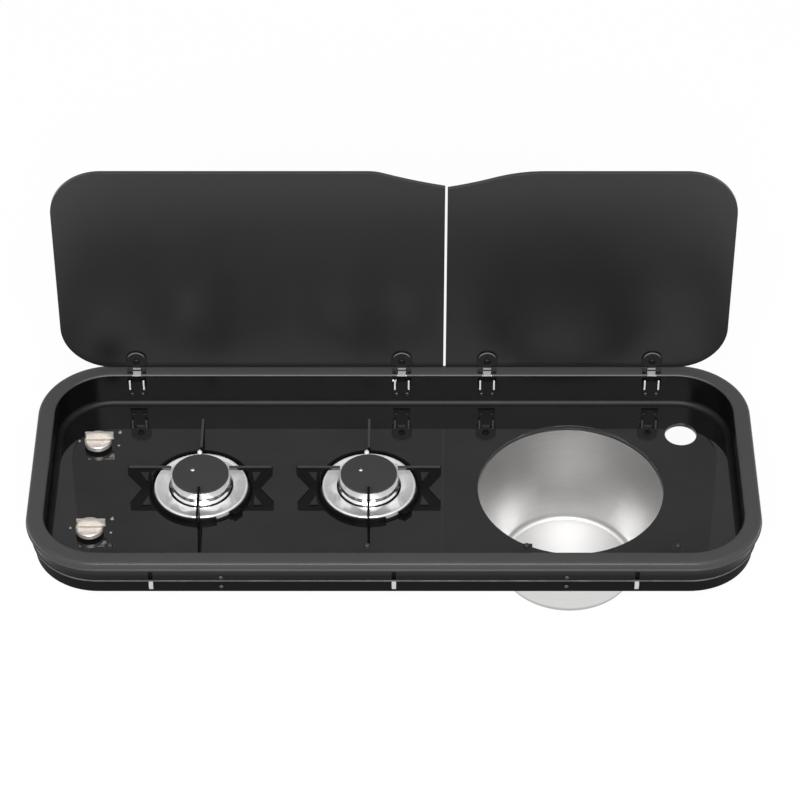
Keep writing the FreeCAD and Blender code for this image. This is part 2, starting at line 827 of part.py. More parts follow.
def burner_body(label, x, pipe_turn):
    """Mixing cup on a pedestal: gas pipe in at the side, injector below, neck through the dish."""
    cup = new_node(label, x, S.burner_y)
    turned(cup, "cup", [
        (0, burner_foot),
        (S.pedestal_radius, burner_foot),
        (S.pedestal_radius, flange_floor),
        (S.flange_radius, flange_floor),
        (S.flange_radius, flange_top),
        (S.dish_centre_radius - S.neck_gap, flange_top),
        (S.dish_centre_radius - S.neck_gap, head_seat),
        (S.cup_bore, head_seat),
        (S.cup_bore, flange_top),
        (S.mixer_bore, flange_top),
        (S.mixer_bore, jet_top),
        (S.jet_radius + S.press_fit, jet_top),
        (S.jet_radius + S.press_fit, jet_floor),
        (0, jet_floor),
    ])
    holes = new_sketch(cup, "holes", "XY_Plane", flange_top)
    probe_circles(holes, S.probe_fit)
    cut(cup, holes, S.flange_thick)
    inlet = new_sketch(cup, "inlet", "XZ_Plane")
    add_circle(inlet, 0, pipe_z, S.pipe_radius + S.pipe_fit)
    cut(cup, inlet, S.pedestal_radius, upward=(pipe_turn < 0))


def burner_head(label, x):
    """Aluminium crown whose flame ports run round it under the top band."""
    head = new_node(label, x, S.burner_y)
    crown_floor = head_top - S.head_crown
    port_floor = crown_floor - S.head_ports
    ring_floor = port_floor - S.head_ring
    turned(head, "crown", [
        (S.head_throat, head_seat),
        (S.head_base_radius, head_seat),
        (S.head_base_radius, ring_floor - S.head_step),
        (S.head_ring_radius, ring_floor),
        (S.head_ring_radius, port_floor - S.head_ring_bevel),
        (S.head_ring_radius - S.head_ring_bevel, port_floor),
        (S.head_port_radius, port_floor),
        (S.head_port_radius, crown_floor - S.head_bevel),
        (S.head_radius, crown_floor),
        (S.head_radius, head_top),
        (S.head_bore, head_top),
        (S.head_bore, ring_floor),
        (S.head_throat, ring_floor - S.head_step),
    ])
    port = new_sketch(head, "port", "YZ_Plane")
    add_loop(port, box_loop(-S.port_width / 2, S.port_width / 2,
                            port_floor + S.head_bevel, crown_floor - 2 * S.head_bevel))
    slot = cut(head, port, S.head_radius, upward=True)
    repeat_round(head, slot, port, "V_Axis", S.port_count)


def burner_cap(label, x):
    cap = new_node(label, x, S.burner_y)
    turned(cap, "disc", [
        (0, head_top - S.cap_spigot),
        (S.head_bore - S.cap_fit, head_top - S.cap_spigot),
        (S.head_bore - S.cap_fit, head_top),
        (S.cap_radius, head_top),
        (S.cap_radius, cap_top - S.cap_round),
        (S.cap_radius - S.cap_round, cap_top, S.cap_round),
        (0, cap_top),
    ])


def cap_rivet(label, x):
    rivet = new_body(label, x + S.rivet_x, S.burner_y + S.rivet_y)
    turned(rivet, "dome", [
        (0, cap_top),
        (S.rivet_radius, cap_top),
        (0, cap_top + S.rivet_rise, (S.rivet_radius * S.rivet_radius + S.rivet_rise * S.rivet_rise)
         / (2 * S.rivet_rise)),
    ])
    return rivet


def injector(label, x):
    jet = new_node(label, x, S.burner_y)
    turned(jet, "jet", [
        (0, jet_floor),
        (S.jet_radius, jet_floor),
        (S.jet_radius, jet_top - S.jet_radius),
        (S.jet_radius / 2, jet_top - S.jet_radius / 2),
        (S.jet_radius / 2, jet_top),
        (0, jet_top),
    ])


def spark_electrode(label, x):
    """Ceramic rod with a collar on the burner flange and a bare steel tip."""
    spot = probe_spot(S.spark_angle)
    rod = new_node(label, x + spot[0], S.burner_y + spot[1])
    ceramic_top = cap_top - S.spark_tip
    turned(rod, "rod", [
        (0, flange_floor - S.spark_tail),
        (S.spark_radius, flange_floor - S.spark_tail),
        (S.spark_radius, flange_top),
        (S.spark_radius + S.probe_collar, flange_top),
        (S.spark_radius + S.probe_collar, flange_top + S.probe_collar),
        (S.spark_radius, flange_top + S.probe_collar),
        (S.spark_radius, ceramic_top),
        (S.spark_pin_radius, ceramic_top + S.probe_collar),
        (S.spark_pin_radius, cap_top),
        (0, cap_top),
    ])


def thermocouple(label, x):
    spot = probe_spot(S.couple_angle)
    rod = new_node(label, x + spot[0], S.burner_y + spot[1])
    couple_top = head_top - S.head_crown
    turned(rod, "rod", [
        (0, flange_floor - S.spark_tail),
        (S.couple_radius, flange_floor - S.spark_tail),
        (S.couple_radius, flange_top),
        (S.couple_radius + S.probe_collar, flange_top),
        (S.couple_radius + S.probe_collar, flange_top + S.probe_collar),
        (S.couple_radius, flange_top + S.probe_collar),
        (S.couple_radius, couple_top - S.couple_radius),
        (0, couple_top, S.couple_radius),
    ])


def pan_support(label, x):
    """Black ring round the dish with four pierced blades that hold the pan over the flame."""
    support = new_node(label, x, S.burner_y)
    ring_outer = S.support_ring_inner + S.support_ring_width
    bar_floor = S.support_top - S.support_bar
    band = new_sketch(support, "band", "XY_Plane", S.glass_top)
    add_circle(band, 0, 0, ring_outer)
    add_circle(band, 0, 0, S.support_ring_inner)
    pad(support, band, S.support_ring_height)
    blade = new_sketch(support, "blade", "XZ_Plane")
    add_loop(blade, [
        (S.support_bar_inner, bar_floor),
        (S.support_ring_inner - S.support_ring_width, bar_floor),
        (S.support_ring_inner, bar_floor - S.support_bar),
        (S.support_ring_inner, S.glass_top),
        (S.support_foot, S.glass_top),
        (S.support_reach, S.support_top - S.support_tip_height),
        (S.support_reach, S.support_top - S.support_nose),
        (S.support_reach - S.support_nose, S.support_top),
        (S.support_bar_inner, S.support_top),
    ])
    strut = S.support_strut
    add_loop(blade, [
        (ring_outer, bar_floor - strut / 2),
        (S.support_ring_inner + strut, S.glass_top + S.support_tip_height - strut / 2),
        (S.support_reach - S.support_tip_height, bar_floor - strut / 2),
    ])
    arm = pad(support, blade, S.support_thick, midplane=True)
    repeat_round(support, arm, blade, "V_Axis", 4)
    gap = new_sketch(support, "gap", "XY_Plane", S.glass_top + S.support_ring_height)
    add_loop(gap, [(reach * cosine(angle), reach * sine(angle)) for reach, angle in (
        (S.support_ring_inner - S.support_ring_width, S.ring_gap_start),
        (ring_outer + S.support_ring_width, S.ring_gap_start),
        (ring_outer + S.support_ring_width, S.ring_gap_end),
        (S.support_ring_inner - S.support_ring_width, S.ring_gap_end))])
    cut(support, gap, S.ring_gap_depth)
    lug = new_sketch(support, "lug", "XY_Plane", S.glass_top)
    along = (cosine(S.lug_angle), sine(S.lug_angle))
    corners = []
    for reach, side in ((S.support_ring_inner, -1), (ring_outer + S.lug_reach, -1),
                        (ring_outer + S.lug_reach, 1), (S.support_ring_inner, 1)):
        corners.append((along[0] * reach - along[1] * (S.lug_width / 2) * side,
                        along[1] * reach + along[0] * (S.lug_width / 2) * side))
    add_loop(lug, corners)
    pad(support, lug, S.support_ring_height)


rivets = []
for side, burner_x in burner_places.items():
    spill_dish(f"{side}_spill_dish", burner_x)
    burner_body(f"{side}_burner_body", burner_x, burner_feeds[side])
    injector(f"{side}_injector", burner_x)
    burner_head(f"{side}_burner_head", burner_x)
    burner_cap(f"{side}_burner_cap", burner_x)
    spark_electrode(f"{side}_spark_electrode", burner_x)
    thermocouple(f"{side}_thermocouple", burner_x)
    pan_support(f"{side}_pan_support", burner_x)
    rivets.append(cap_rivet(f"{side}_cap_rivet", burner_x))
group("cap_rivets", rivets)

# Gas rail, valves and pipes
rail_front = knob_places["front"] - S.rail_overrun
rail_back = knob_places["rear"] + S.rail_overrun
valve_floor = rail_z + S.rail_radius / 2
bore_floor = valve_floor + S.valve_bore_floor


def rod_along_y(label, x, z, radius, y0, y1):
    body = new_body(label)
    ring = front_sketch(body, "ring", y0)
    add_circle(ring, x, z, radius)
    pad(body, ring, y1 - y0, reverse=True)
    return body


rail = rod_along_y("gas_rail", knob_x, rail_z, S.rail_radius, rail_front, rail_back)
nodes.append(rail)
rail_mouth = front_sketch(rail, "mouth", rail_back)
add_circle(rail_mouth, knob_x, rail_z, S.inlet_radius + S.press_fit)
cut(rail, rail_mouth, S.rail_overrun / 2, upward=True)

inlet = rod_along_y("gas_inlet_pipe", knob_x, rail_z, S.inlet_radius,
                    rail_back - S.rail_overrun / 2, S.tray_half_depth + S.inlet_reach)
nodes.append(inlet)
inlet_collar = front_sketch(inlet, "collar", S.tray_half_depth)
add_circle(inlet_collar, knob_x, rail_z, S.rail_radius)
pad(inlet, inlet_collar, S.inlet_collar, reverse=True)
inlet_bore = front_sketch(inlet, "bore", S.tray_half_depth + S.inlet_reach)
add_circle(inlet_bore, knob_x, rail_z, S.inlet_radius - S.pipe_wall)
cut(inlet, inlet_bore, S.inlet_reach, upward=True)


def gas_valve(label, y):
    """Valve block clamped on the rail, with a bore for the spindle and a side outlet."""
    valve = new_node(label, knob_x, y)
    block = new_sketch(valve, "block", "XY_Plane", valve_floor)
    add_circle(block, 0, 0, S.valve_radius)
    pad(valve, block, S.valve_height)
    outlet = new_sketch(valve, "outlet", "YZ_Plane")
    add_circle(outlet, 0, pipe_z, S.pipe_radius + S.pipe_wall)
    pad(valve, outlet, S.valve_radius + S.valve_outlet)
    spindle = new_sketch(valve, "spindle", "XY_Plane", valve_floor + S.valve_height)
    add_circle(spindle, 0, 0, S.valve_bore)
    cut(valve, spindle, S.valve_height - S.valve_bore_floor)
    saddle = new_sketch(valve, "saddle", "XZ_Plane")
    add_circle(saddle, 0, rail_z, S.rail_radius + S.press_fit)
    cut(valve, saddle, 4 * S.valve_radius, midplane=True)
    socket = new_sketch(valve, "socket", "YZ_Plane", S.valve_radius + S.valve_outlet)
    add_circle(socket, 0, pipe_z, S.pipe_radius + S.pipe_fit)
    cut(valve, socket, S.valve_outlet)


def valve_plunger(label, y):
    """Push rod that opens the safety valve when the knob is pressed."""
    rod = new_node(label, knob_x, y)
    turned(rod, "rod", [
        (0, plunger_floor),
        (S.valve_bore - S.running_fit, plunger_floor),
        (S.valve_bore - S.running_fit, stem_floor),
        (S.pivot_pin_radius, stem_floor),
        (S.pivot_pin_radius, stem_floor + S.pivot_pin_length),
        (0, stem_floor + S.pivot_pin_length),
    ])


def valve_stem(label, y):
    """Spindle that turns on the plunger's pin and carries the knob."""
    rod = new_node(label, knob_x, y)
    socket_top = stem_floor + S.pivot_pin_length + S.running_fit
    turned(rod, "rod", [
        (S.pivot_pin_radius + S.running_fit, stem_floor),
        (S.valve_bore - S.running_fit, stem_floor),
        (S.valve_bore - S.running_fit, stem_shoulder),
        (S.stem_radius, stem_shoulder),
        (S.stem_radius, knob_floor + S.knob_disc),
        (0, knob_floor + S.knob_disc),
        (0, socket_top),
        (S.pivot_pin_radius + S.running_fit, socket_top),
    ])


def control_knob(label, y):
    """Round knob plate with a bevelled edge and an upright grip bar across it."""
    knob = new_node(label, knob_x, y)
    disc_top = knob_floor + S.knob_disc
    turned(knob, "disc", [
        (S.stem_radius + S.press_fit, knob_floor + S.knob_recess),
        (S.knob_radius - S.knob_edge, knob_floor + S.knob_recess),
        (S.knob_radius - S.knob_edge, knob_floor),
        (S.knob_radius, knob_floor),
        (S.knob_radius, disc_top - S.knob_bevel),
        (S.knob_radius - S.knob_bevel, disc_top),
        (S.stem_radius + S.press_fit, disc_top),
    ])
    grip = new_sketch(knob, "grip", "XY_Plane", disc_top)
    add_loop(grip, rounded_loop(S.grip_offset - knob_half, S.grip_offset + knob_half, -S.grip_width / 2,
                                S.grip_width / 2, S.grip_corner))
    pad(knob, grip, S.grip_height)


def stem_seal(label, y):
    ring = new_body(label, knob_x, y)
    turned(ring, "ring", [
        (S.stem_radius + S.seal_gap, S.glass_top),
        (S.knob_hole_radius + S.seal_land, S.glass_top),
        (S.knob_hole_radius, S.glass_top + S.seal_rise),
        (S.stem_radius + S.seal_gap, S.glass_top + S.seal_rise),
    ])
    return ring


def burner_pipe(label, knob_y, burner_x, turn):
    """Pipe from a valve outlet along X, then through a bend into the burner's side."""
    body = new_node(label)
    start_x = knob_x + S.valve_radius + S.press_fit
    end_y = S.burner_y + turn * (S.jet_radius + S.pipe_wall)
    path = new_sketch(body, "path", "XY_Plane", pipe_z)
    bend_x = burner_x - S.pipe_bend
    bend_y = knob_y - turn * S.pipe_bend
    add_loop(path, [(start_x, knob_y), (bend_x, knob_y),
                    (burner_x, bend_y, -turn * S.pipe_bend), (burner_x, end_y)], closed=False)
    section = new_sketch(body, "section", "YZ_Plane", start_x)
    add_circle(section, knob_y, pipe_z, S.pipe_radius)
    add_circle(section, knob_y, pipe_z, S.pipe_radius - S.pipe_wall)
    sweep = body.newObject("PartDesign::AdditivePipe", f"{label}_sweep")
    sweep.Profile = section
    sweep.Spine = path


stem_floor = bore_floor + S.push_travel + S.plunger_length + S.push_spare
plunger_floor = stem_floor - S.plunger_length
stem_shoulder = stem_floor + S.stem_guide
knob_floor = S.glass_top + S.push_travel + S.knob_clearance

seals = []
for place_name, knob_y in knob_places.items():
    gas_valve(f"{place_name}_gas_valve", knob_y)
    valve_plunger(f"{place_name}_valve_plunger", knob_y)
    valve_stem(f"{place_name}_valve_stem", knob_y)
    control_knob(f"{place_name}_knob", knob_y)
    seals.append(stem_seal(f"{place_name}_stem_seal", knob_y))
group("stem_seals", seals)
for side, feed in (("left", "front"), ("right", "rear")):
    burner_pipe(f"{side}_burner_pipe", knob_places[feed], burner_places[side], burner_feeds[side])

# Lids, modelled open: upright behind the frame, with their undersides facing the front
lid_half = half_width - S.rim_width - S.lid_side_gap
lid_corner = S.frame_corner - S.rim_width - S.lid_side_gap
lid_inner = pivot_y + S.pivot_drop
lid_outer = lid_inner + S.lid_thick
lid_floor = pivot_z + S.pivot_inset + S.lid_end_gap
lid_crown = lid_floor + wall_back - wall_front - 2 * S.lid_end_gap
clamp_z = lid_floor + S.clamp_rise


def lid_outline(split, start, ease, mirror):
    """Lid with two round outer corners and a finger scoop that dips to the split edge."""
    inner = split - S.lid_split_gap / 2
    steep = S.scoop_angle
    shallow = S.scoop_end_angle
    knee_x = split - start + ease * sine(steep)
    knee_drop = ease * (1 - cosine(steep))
    sweep = (inner - knee_x) / (sine(steep) - sine(shallow))
    drop = knee_drop + sweep * (cosine(shallow) - cosine(steep))
    points = [
        (inner, lid_floor),
        (inner, lid_crown - drop),
        (knee_x, lid_crown - knee_drop, -sweep),
        (split - start, lid_crown, ease),
        (lid_corner - lid_half, lid_crown),
        (-lid_half, lid_crown - lid_corner, lid_corner),
        (-lid_half, lid_floor + lid_corner),
        (lid_corner - lid_half, lid_floor, lid_corner),
    ]
    if mirror:
        points = [(-point[0], point[1], *(-bend for bend in point[2:])) for point in points]
    return points


def glass_lid(label, outline, hinges):
    lid = new_node(label)
    sheet_sketch = front_sketch(lid, "sheet", lid_inner)
    add_loop(sheet_sketch, outline)
    for hinge_x in hinges:
        add_circle(sheet_sketch, hinge_x, clamp_z, S.clamp_radius + S.clamp_fit)
    pad(lid, sheet_sketch, S.lid_thick, reverse=True)


def hinge_leaf(label, x):
    """Leaf plate on the lid, with a narrow neck down to the hinge barrel."""
    leaf = new_body(label, x)
    half = S.leaf_width / 2
    foot = lid_floor + S.leaf_gap
    top = foot + S.leaf_height
    plate = front_sketch(leaf, "plate", lid_inner)
    add_loop(plate, [
        (half, foot), (half, top - S.leaf_corner),
        (half - S.leaf_corner, top, S.leaf_corner), (S.leaf_corner - half, top),
        (-half, top - S.leaf_corner, S.leaf_corner), (-half, foot),
    ])
    add_circle(plate, 0, clamp_z, S.clamp_screw_radius + S.clamp_fit)
    pad(leaf, plate, S.leaf_thick)
    neck = front_sketch(leaf, "neck", lid_inner)
    add_loop(neck, box_loop(-S.neck_width / 2, S.neck_width / 2, pivot_z, foot + S.leaf_gap))
    pad(leaf, neck, S.leaf_thick)
    barrel = new_sketch(leaf, "barrel", "YZ_Plane")
    add_circle(barrel, pivot_y, pivot_z, S.barrel_radius)
    pad(leaf, barrel, S.neck_width, midplane=True)
    hole = new_sketch(leaf, "hole", "YZ_Plane")
    add_circle(hole, pivot_y, pivot_z, S.hinge_pin_radius + S.running_fit)
    cut(leaf, hole, 2 * S.neck_width, midplane=True)
    return leaf


def hinge_bracket(label, x):
    """Bracket on the back wall with two ears that stand proud of it and hold the pin in the rim."""
    bracket = new_body(label, x)
    ear_front = wall_back - S.bracket_thick - S.ear_proud
    ear_top = S.rim_top - S.lid_thick - S.ear_lid_gap
    plate = front_sketch(bracket, "plate", wall_back)
    add_loop(plate, box_loop(-S.bracket_width / 2, S.bracket_width / 2, S.bracket_floor, S.bracket_top))
    for side in (-1, 1):
        add_circle(plate, side * S.bracket_screw_pitch / 2, S.bracket_screw_z,
                   S.small_screw_radius + S.clamp_fit)
    pad(bracket, plate, S.bracket_thick)
    ear_floor = notch_floor + S.ear_gap
    for side, offset in (("right", S.ear_spread / 2), ("left", -S.ear_spread / 2)):
        ear = new_sketch(bracket, f"{side}_ear", "YZ_Plane", offset)
        add_loop(ear, [
            (ear_front + S.ear_nose, S.ear_foot_z, S.ear_nose),
            (wall_back, S.ear_foot_z),
            (wall_back, ear_floor),
            (pivot_y, pivot_z - S.ear_radius),
            (pivot_y + S.ear_radius, pivot_z, S.ear_radius),
            (pivot_y, pivot_z + S.ear_radius, S.ear_radius),
            (wall_back, ear_top),
            (ear_front + S.ear_nose, ear_top),
            (ear_front, ear_top - S.ear_nose, S.ear_nose),
            (ear_front, S.ear_foot_z + S.ear_nose),
        ])
        add_circle(ear, pivot_y, pivot_z, S.hinge_pin_radius + S.press_fit)
        pad(bracket, ear, S.bracket_thick, reverse=(side == "right"))
    return bracket


def hinge_pin(label, x):
    pin = new_body(label, x)
    rod = new_sketch(pin, "rod", "YZ_Plane")
    add_circle(rod, pivot_y, pivot_z, S.hinge_pin_radius)
    pad(pin, rod, S.ear_spread, midplane=True)
    return pin


def hinge_cap(label, x):
    """Round cap on the lid's outer face, with a threaded sleeve through the glass."""
    cap = new_body(label, x)
    disc = front_sketch(cap, "disc", lid_outer)
    add_circle(disc, 0, clamp_z, S.hinge_cap_radius)
    pad(cap, disc, S.hinge_cap_thick, reverse=True)
    sleeve = front_sketch(cap, "sleeve", lid_outer)
    add_circle(sleeve, 0, clamp_z, S.clamp_radius)
    pad(cap, sleeve, S.lid_thick)
    thread = front_sketch(cap, "thread", lid_inner)
    add_circle(thread, 0, clamp_z, S.clamp_screw_radius + S.running_fit)
    cut(cap, thread, S.lid_thick)
    return cap


def face_screw(label, x, y, z, shank_radius, shank_length, head_radius, head_height, back=False):
    """Screw driven along Y, from the front or, with back set, from behind."""
    screw = new_body(label)
    head = front_sketch(screw, "head", y)
    add_circle(head, x, z, head_radius)
    pad(screw, head, head_height, reverse=back)
    shank = front_sketch(screw, "shank", y)
    add_circle(shank, x, z, shank_radius)
    pad(screw, shank, shank_length, reverse=not back)
    return screw


def clamp_screw(label, x):
    return face_screw(label, x, lid_inner - S.leaf_thick, clamp_z, S.clamp_screw_radius,
                      S.leaf_thick + S.lid_thick - S.clamp_fit, S.clamp_head_radius, S.clamp_head_height)


lids = {
    "left": (lid_outline(split_x, S.scoop_left_start, S.scoop_left_ease, False), left_hinges),
    "right": (lid_outline(-split_x, S.scoop_right_start, S.scoop_right_ease, True), right_hinges),
}
for side, (outline, hinges) in lids.items():
    glass_lid(f"{side}_lid", outline, hinges)
    for kind, make in (("leaf", hinge_leaf), ("cap", hinge_cap), ("clamp_screw", clamp_screw)):
        plural = "leaves" if kind == "leaf" else f"{kind}s"
        members = [make(f"{side}_{kind}_{index}", x) for index, x in enumerate(hinges, start=1)]
        group(f"{side}_hinge_{plural}", members)
group("hinge_brackets", [hinge_bracket(f"bracket_{index}", x) for index, x in enumerate(all_hinges, 1)])
group("hinge_pins", [hinge_pin(f"pin_{index}", x) for index, x in enumerate(all_hinges, 1)])
group("bracket_screws", [
    face_screw(f"bracket_screw_{index}_{side}", x + side * S.bracket_screw_pitch / 2,
               wall_back - S.bracket_thick, S.bracket_screw_z, S.small_screw_radius,
               S.bracket_thick + 2 * S.frame_wall, S.small_head_radius, S.small_head_height)
    for index, x in enumerate(all_hinges, 1) for side in (-1, 1)
])

# Lid buffers on angle brackets along the front wall
buffer_top = S.rim_top - S.lid_thick - S.buffer_gap
arm_top = buffer_top - S.buffer_height


def buffer_bracket(label, x):
    bracket = new_body(label, x)
    angle = new_sketch(bracket, "angle", "YZ_Plane")
    thick = S.buffer_plate
    reach = wall_front + S.buffer_reach
    add_loop(angle, [
        (wall_front, arm_top - S.buffer_drop), (wall_front + thick, arm_top - S.buffer_drop),
        (wall_front + thick, arm_top - thick), (reach, arm_top - thick),
        (reach, arm_top), (wall_front, arm_top),
    ])
    pad(bracket, angle, S.buffer_width, midplane=True)
    return bracket


def lid_buffer(label, x):
    dome = new_body(label, x, wall_front + S.buffer_reach - S.buffer_width / 2)
    turned(dome, "dome", [
        (0, arm_top), (S.buffer_radius, arm_top),
        (S.buffer_radius, buffer_top - S.buffer_radius), (0, buffer_top, S.buffer_radius),
    ])
    return dome


group("buffer_brackets", [buffer_bracket(f"buffer_bracket_{index}", x)
                          for index, x in enumerate(buffer_places, 1)])
group("lid_buffers", [lid_buffer(f"buffer_{index}", x) for index, x in enumerate(buffer_places, 1)])

# Spring clips that grip the worktop cut-out, and the screws that hold skirt and surround together
skirt_face = half_depth - skirt_inset


def worktop_clip(label, x, back):
    clip = new_body(label, x)
    strip = new_sketch(clip, "strip", "YZ_Plane")
    floor = S.clip_top - S.clip_height
    middle = S.clip_top - S.clip_height / 2
    out = S.clip_thick
    points = [
        (skirt_face, floor), (skirt_face + out, floor), (skirt_face + S.clip_bulge, middle),
        (skirt_face + out, S.clip_top), (skirt_face, S.clip_top), (skirt_face, S.clip_top - out),
        (skirt_face + S.clip_bulge - out, middle), (skirt_face, floor + out),
    ]
    side = 1 if back else -1
    add_loop(strip, [(side * point[0], point[1]) for point in points])
    pad(clip, strip, S.clip_width, midplane=True)
    return clip


group("worktop_clips", [worktop_clip(f"clip_{index}_{back}", x, back)
                        for index, x in enumerate(clip_places, 1) for back in (0, 1)])

frame_screws = []
for index, x in enumerate(frame_screw_places, 1):
    for back in (False, True):
        side = 1 if back else -1
        name = f"frame_screw_{index}_{'back' if back else 'front'}"
        frame_screws.append(face_screw(
            f"{name}_upper", x, side * (half_depth - S.lip_overhang), S.frame_screw_upper_z,
            S.small_screw_radius, 3 * S.frame_wall, S.small_head_radius, S.small_head_height, back))
        frame_screws.append(face_screw(
            f"{name}_lower", x, side * skirt_face, S.frame_screw_lower_z,
            S.small_screw_radius, 2 * S.frame_wall, S.small_head_radius, S.small_head_height, back))
group("frame_screws", frame_screws)

# Check the model, then write one file for each piece
doc.recompute()
for item in doc.Objects:
    if "Invalid" in item.State or "Error" in item.State:
        raise RuntimeError(f"{item.Label} failed: {item.State}")
    if item.TypeId == "PartDesign::Pocket" and item.Shape.Volume >= item.BaseFeature.Shape.Volume:
        raise RuntimeError(f"{item.Label} cuts nothing")
for node in nodes:
    if node.Shape.isNull() or not node.Shape.isValid():
        raise RuntimeError(f"{node.Label} has no valid shape")
os.makedirs("parts", exist_ok=True)
for node in nodes:
    node.Shape.exportStep(f"parts/{node.Label}.step")
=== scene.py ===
import json
import math

import bmesh
import bpy
from mathutils import Matrix, Vector

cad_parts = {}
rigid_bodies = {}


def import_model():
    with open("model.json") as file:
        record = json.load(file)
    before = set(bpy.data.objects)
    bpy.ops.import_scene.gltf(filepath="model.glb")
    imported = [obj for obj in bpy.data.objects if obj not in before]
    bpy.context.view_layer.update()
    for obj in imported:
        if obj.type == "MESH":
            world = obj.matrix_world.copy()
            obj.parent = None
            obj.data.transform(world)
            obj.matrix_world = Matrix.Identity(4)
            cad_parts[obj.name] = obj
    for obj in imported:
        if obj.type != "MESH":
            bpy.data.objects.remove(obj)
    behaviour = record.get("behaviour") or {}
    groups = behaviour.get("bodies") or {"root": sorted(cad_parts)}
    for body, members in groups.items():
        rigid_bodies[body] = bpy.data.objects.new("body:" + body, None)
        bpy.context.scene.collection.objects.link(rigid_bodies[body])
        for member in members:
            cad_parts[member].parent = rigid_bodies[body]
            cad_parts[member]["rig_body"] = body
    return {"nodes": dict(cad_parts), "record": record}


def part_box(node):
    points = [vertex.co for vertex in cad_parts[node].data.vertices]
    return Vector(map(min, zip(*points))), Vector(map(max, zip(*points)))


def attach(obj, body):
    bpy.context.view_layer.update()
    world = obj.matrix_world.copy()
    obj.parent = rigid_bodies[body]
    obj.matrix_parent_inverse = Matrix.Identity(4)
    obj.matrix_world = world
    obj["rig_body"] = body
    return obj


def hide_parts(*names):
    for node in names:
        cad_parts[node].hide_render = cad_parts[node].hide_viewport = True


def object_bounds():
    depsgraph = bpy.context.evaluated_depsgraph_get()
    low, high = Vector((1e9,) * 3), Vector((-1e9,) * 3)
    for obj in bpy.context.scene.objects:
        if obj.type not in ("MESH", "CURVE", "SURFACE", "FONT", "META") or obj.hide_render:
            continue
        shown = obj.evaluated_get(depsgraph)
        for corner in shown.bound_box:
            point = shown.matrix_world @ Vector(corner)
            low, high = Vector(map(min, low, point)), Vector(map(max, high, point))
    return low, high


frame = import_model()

cad_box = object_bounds()
record = frame["record"]
scene = bpy.context.scene

MM = 0.001

# Frame section in millimetres: insets from the outer edge and heights over the worktop
RIM_WIDTH = 22.5
RIM_TOP = 34.0
RIM_FLOOR = 22.0
RIM_SETBACK = 1.0
RIM_OUTER_ROUND = 4.6
RIM_INNER_ROUND = 3.0
RIM_BEAD = 1.6
FRAME_WALL = 2.5
WALL_INSET = 6.5
SKIRT_INSET = 9.3
SKIRT_RISE = 12.0
LEDGE_INSET = 36.0
LEDGE_TOP = -18.0
SEAL_INSET = 5.5
SEAL_TOP = 1.5
GLASS_BEAD = 6.8

# Other sizes that the looks follow
FRAME_CORNER = 92 * MM
LEAF_ROUND = 12.5 * MM
HEAD_CROWN = 10 * MM
HEAD_PORTS = 4.5 * MM
GRIP_HALF = 1.6 * MM
GRIP_EDGE = 0.35 * MM
SKIRT_EDGE = 0.4 * MM
INK = 0.06 * MM

# Points closer than this are one, and faces that bend less than this many degrees are flat
JOIN_GAP = 0.002 * MM
FLAT_ANGLE = 0.4

# Edges that bend more than this many degrees stay sharp or are rounded
CREASE = 30
SCREW_CREASE = 35


# Measures taken from the CAD nodes

half_width, half_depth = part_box("surround_frame")[1][:2]
glass_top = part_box("hob_glass")[1].z


def middle(node):
    """Middle of the box round a node."""
    low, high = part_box(node)
    return tuple((a + b) / 2 for a, b in zip(low, high))


def joined(node):
    """Copy of a node's mesh with its triangles joined."""
    mesh = bmesh.new()
    mesh.from_mesh(frame["nodes"][node].data)
    bmesh.ops.remove_doubles(mesh, verts=mesh.verts, dist=JOIN_GAP)
    return mesh


def islands(node):
    """Box of each separate solid in a node."""
    mesh = joined(node)
    boxes = []
    left = set(mesh.verts)
    while left:
        reached = {left.pop()}
        edge = list(reached)
        while edge:
            near = {link.other_vert(vert) for vert in edge for link in vert.link_edges} - reached
            reached |= near
            edge = list(near)
        left -= reached
        low = Vector(min(vert.co[axis] for vert in reached) for axis in range(3))
        high = Vector(max(vert.co[axis] for vert in reached) for axis in range(3))
        boxes.append((low, high))
    mesh.free()
    return sorted(boxes, key=lambda box: tuple(round(part, 5) for part in box[0]))


# Finishes

def find_socket(sockets, key):
    """Socket by number, identifier or name."""
    if isinstance(key, int):
        return sockets[key]
    for socket in sockets:
        if socket.identifier == key:
            return socket
    return sockets[key]


class Signal:
    """A shader value that can be used in sums."""

    def __init__(self, finish, socket):
        self.finish = finish
        self.socket = socket

    def __add__(self, other):
        return self.finish.sum("ADD", self, other)

    def __sub__(self, other):
        return self.finish.sum("SUBTRACT", self, other)

    def __rsub__(self, other):
        return self.finish.sum("SUBTRACT", other, self)

    def __mul__(self, other):
        return self.finish.sum("MULTIPLY", self, other)

    def __rmul__(self, other):
        return self.finish.sum("MULTIPLY", other, self)

    def __pow__(self, other):
        return self.finish.sum("POWER", self, other)


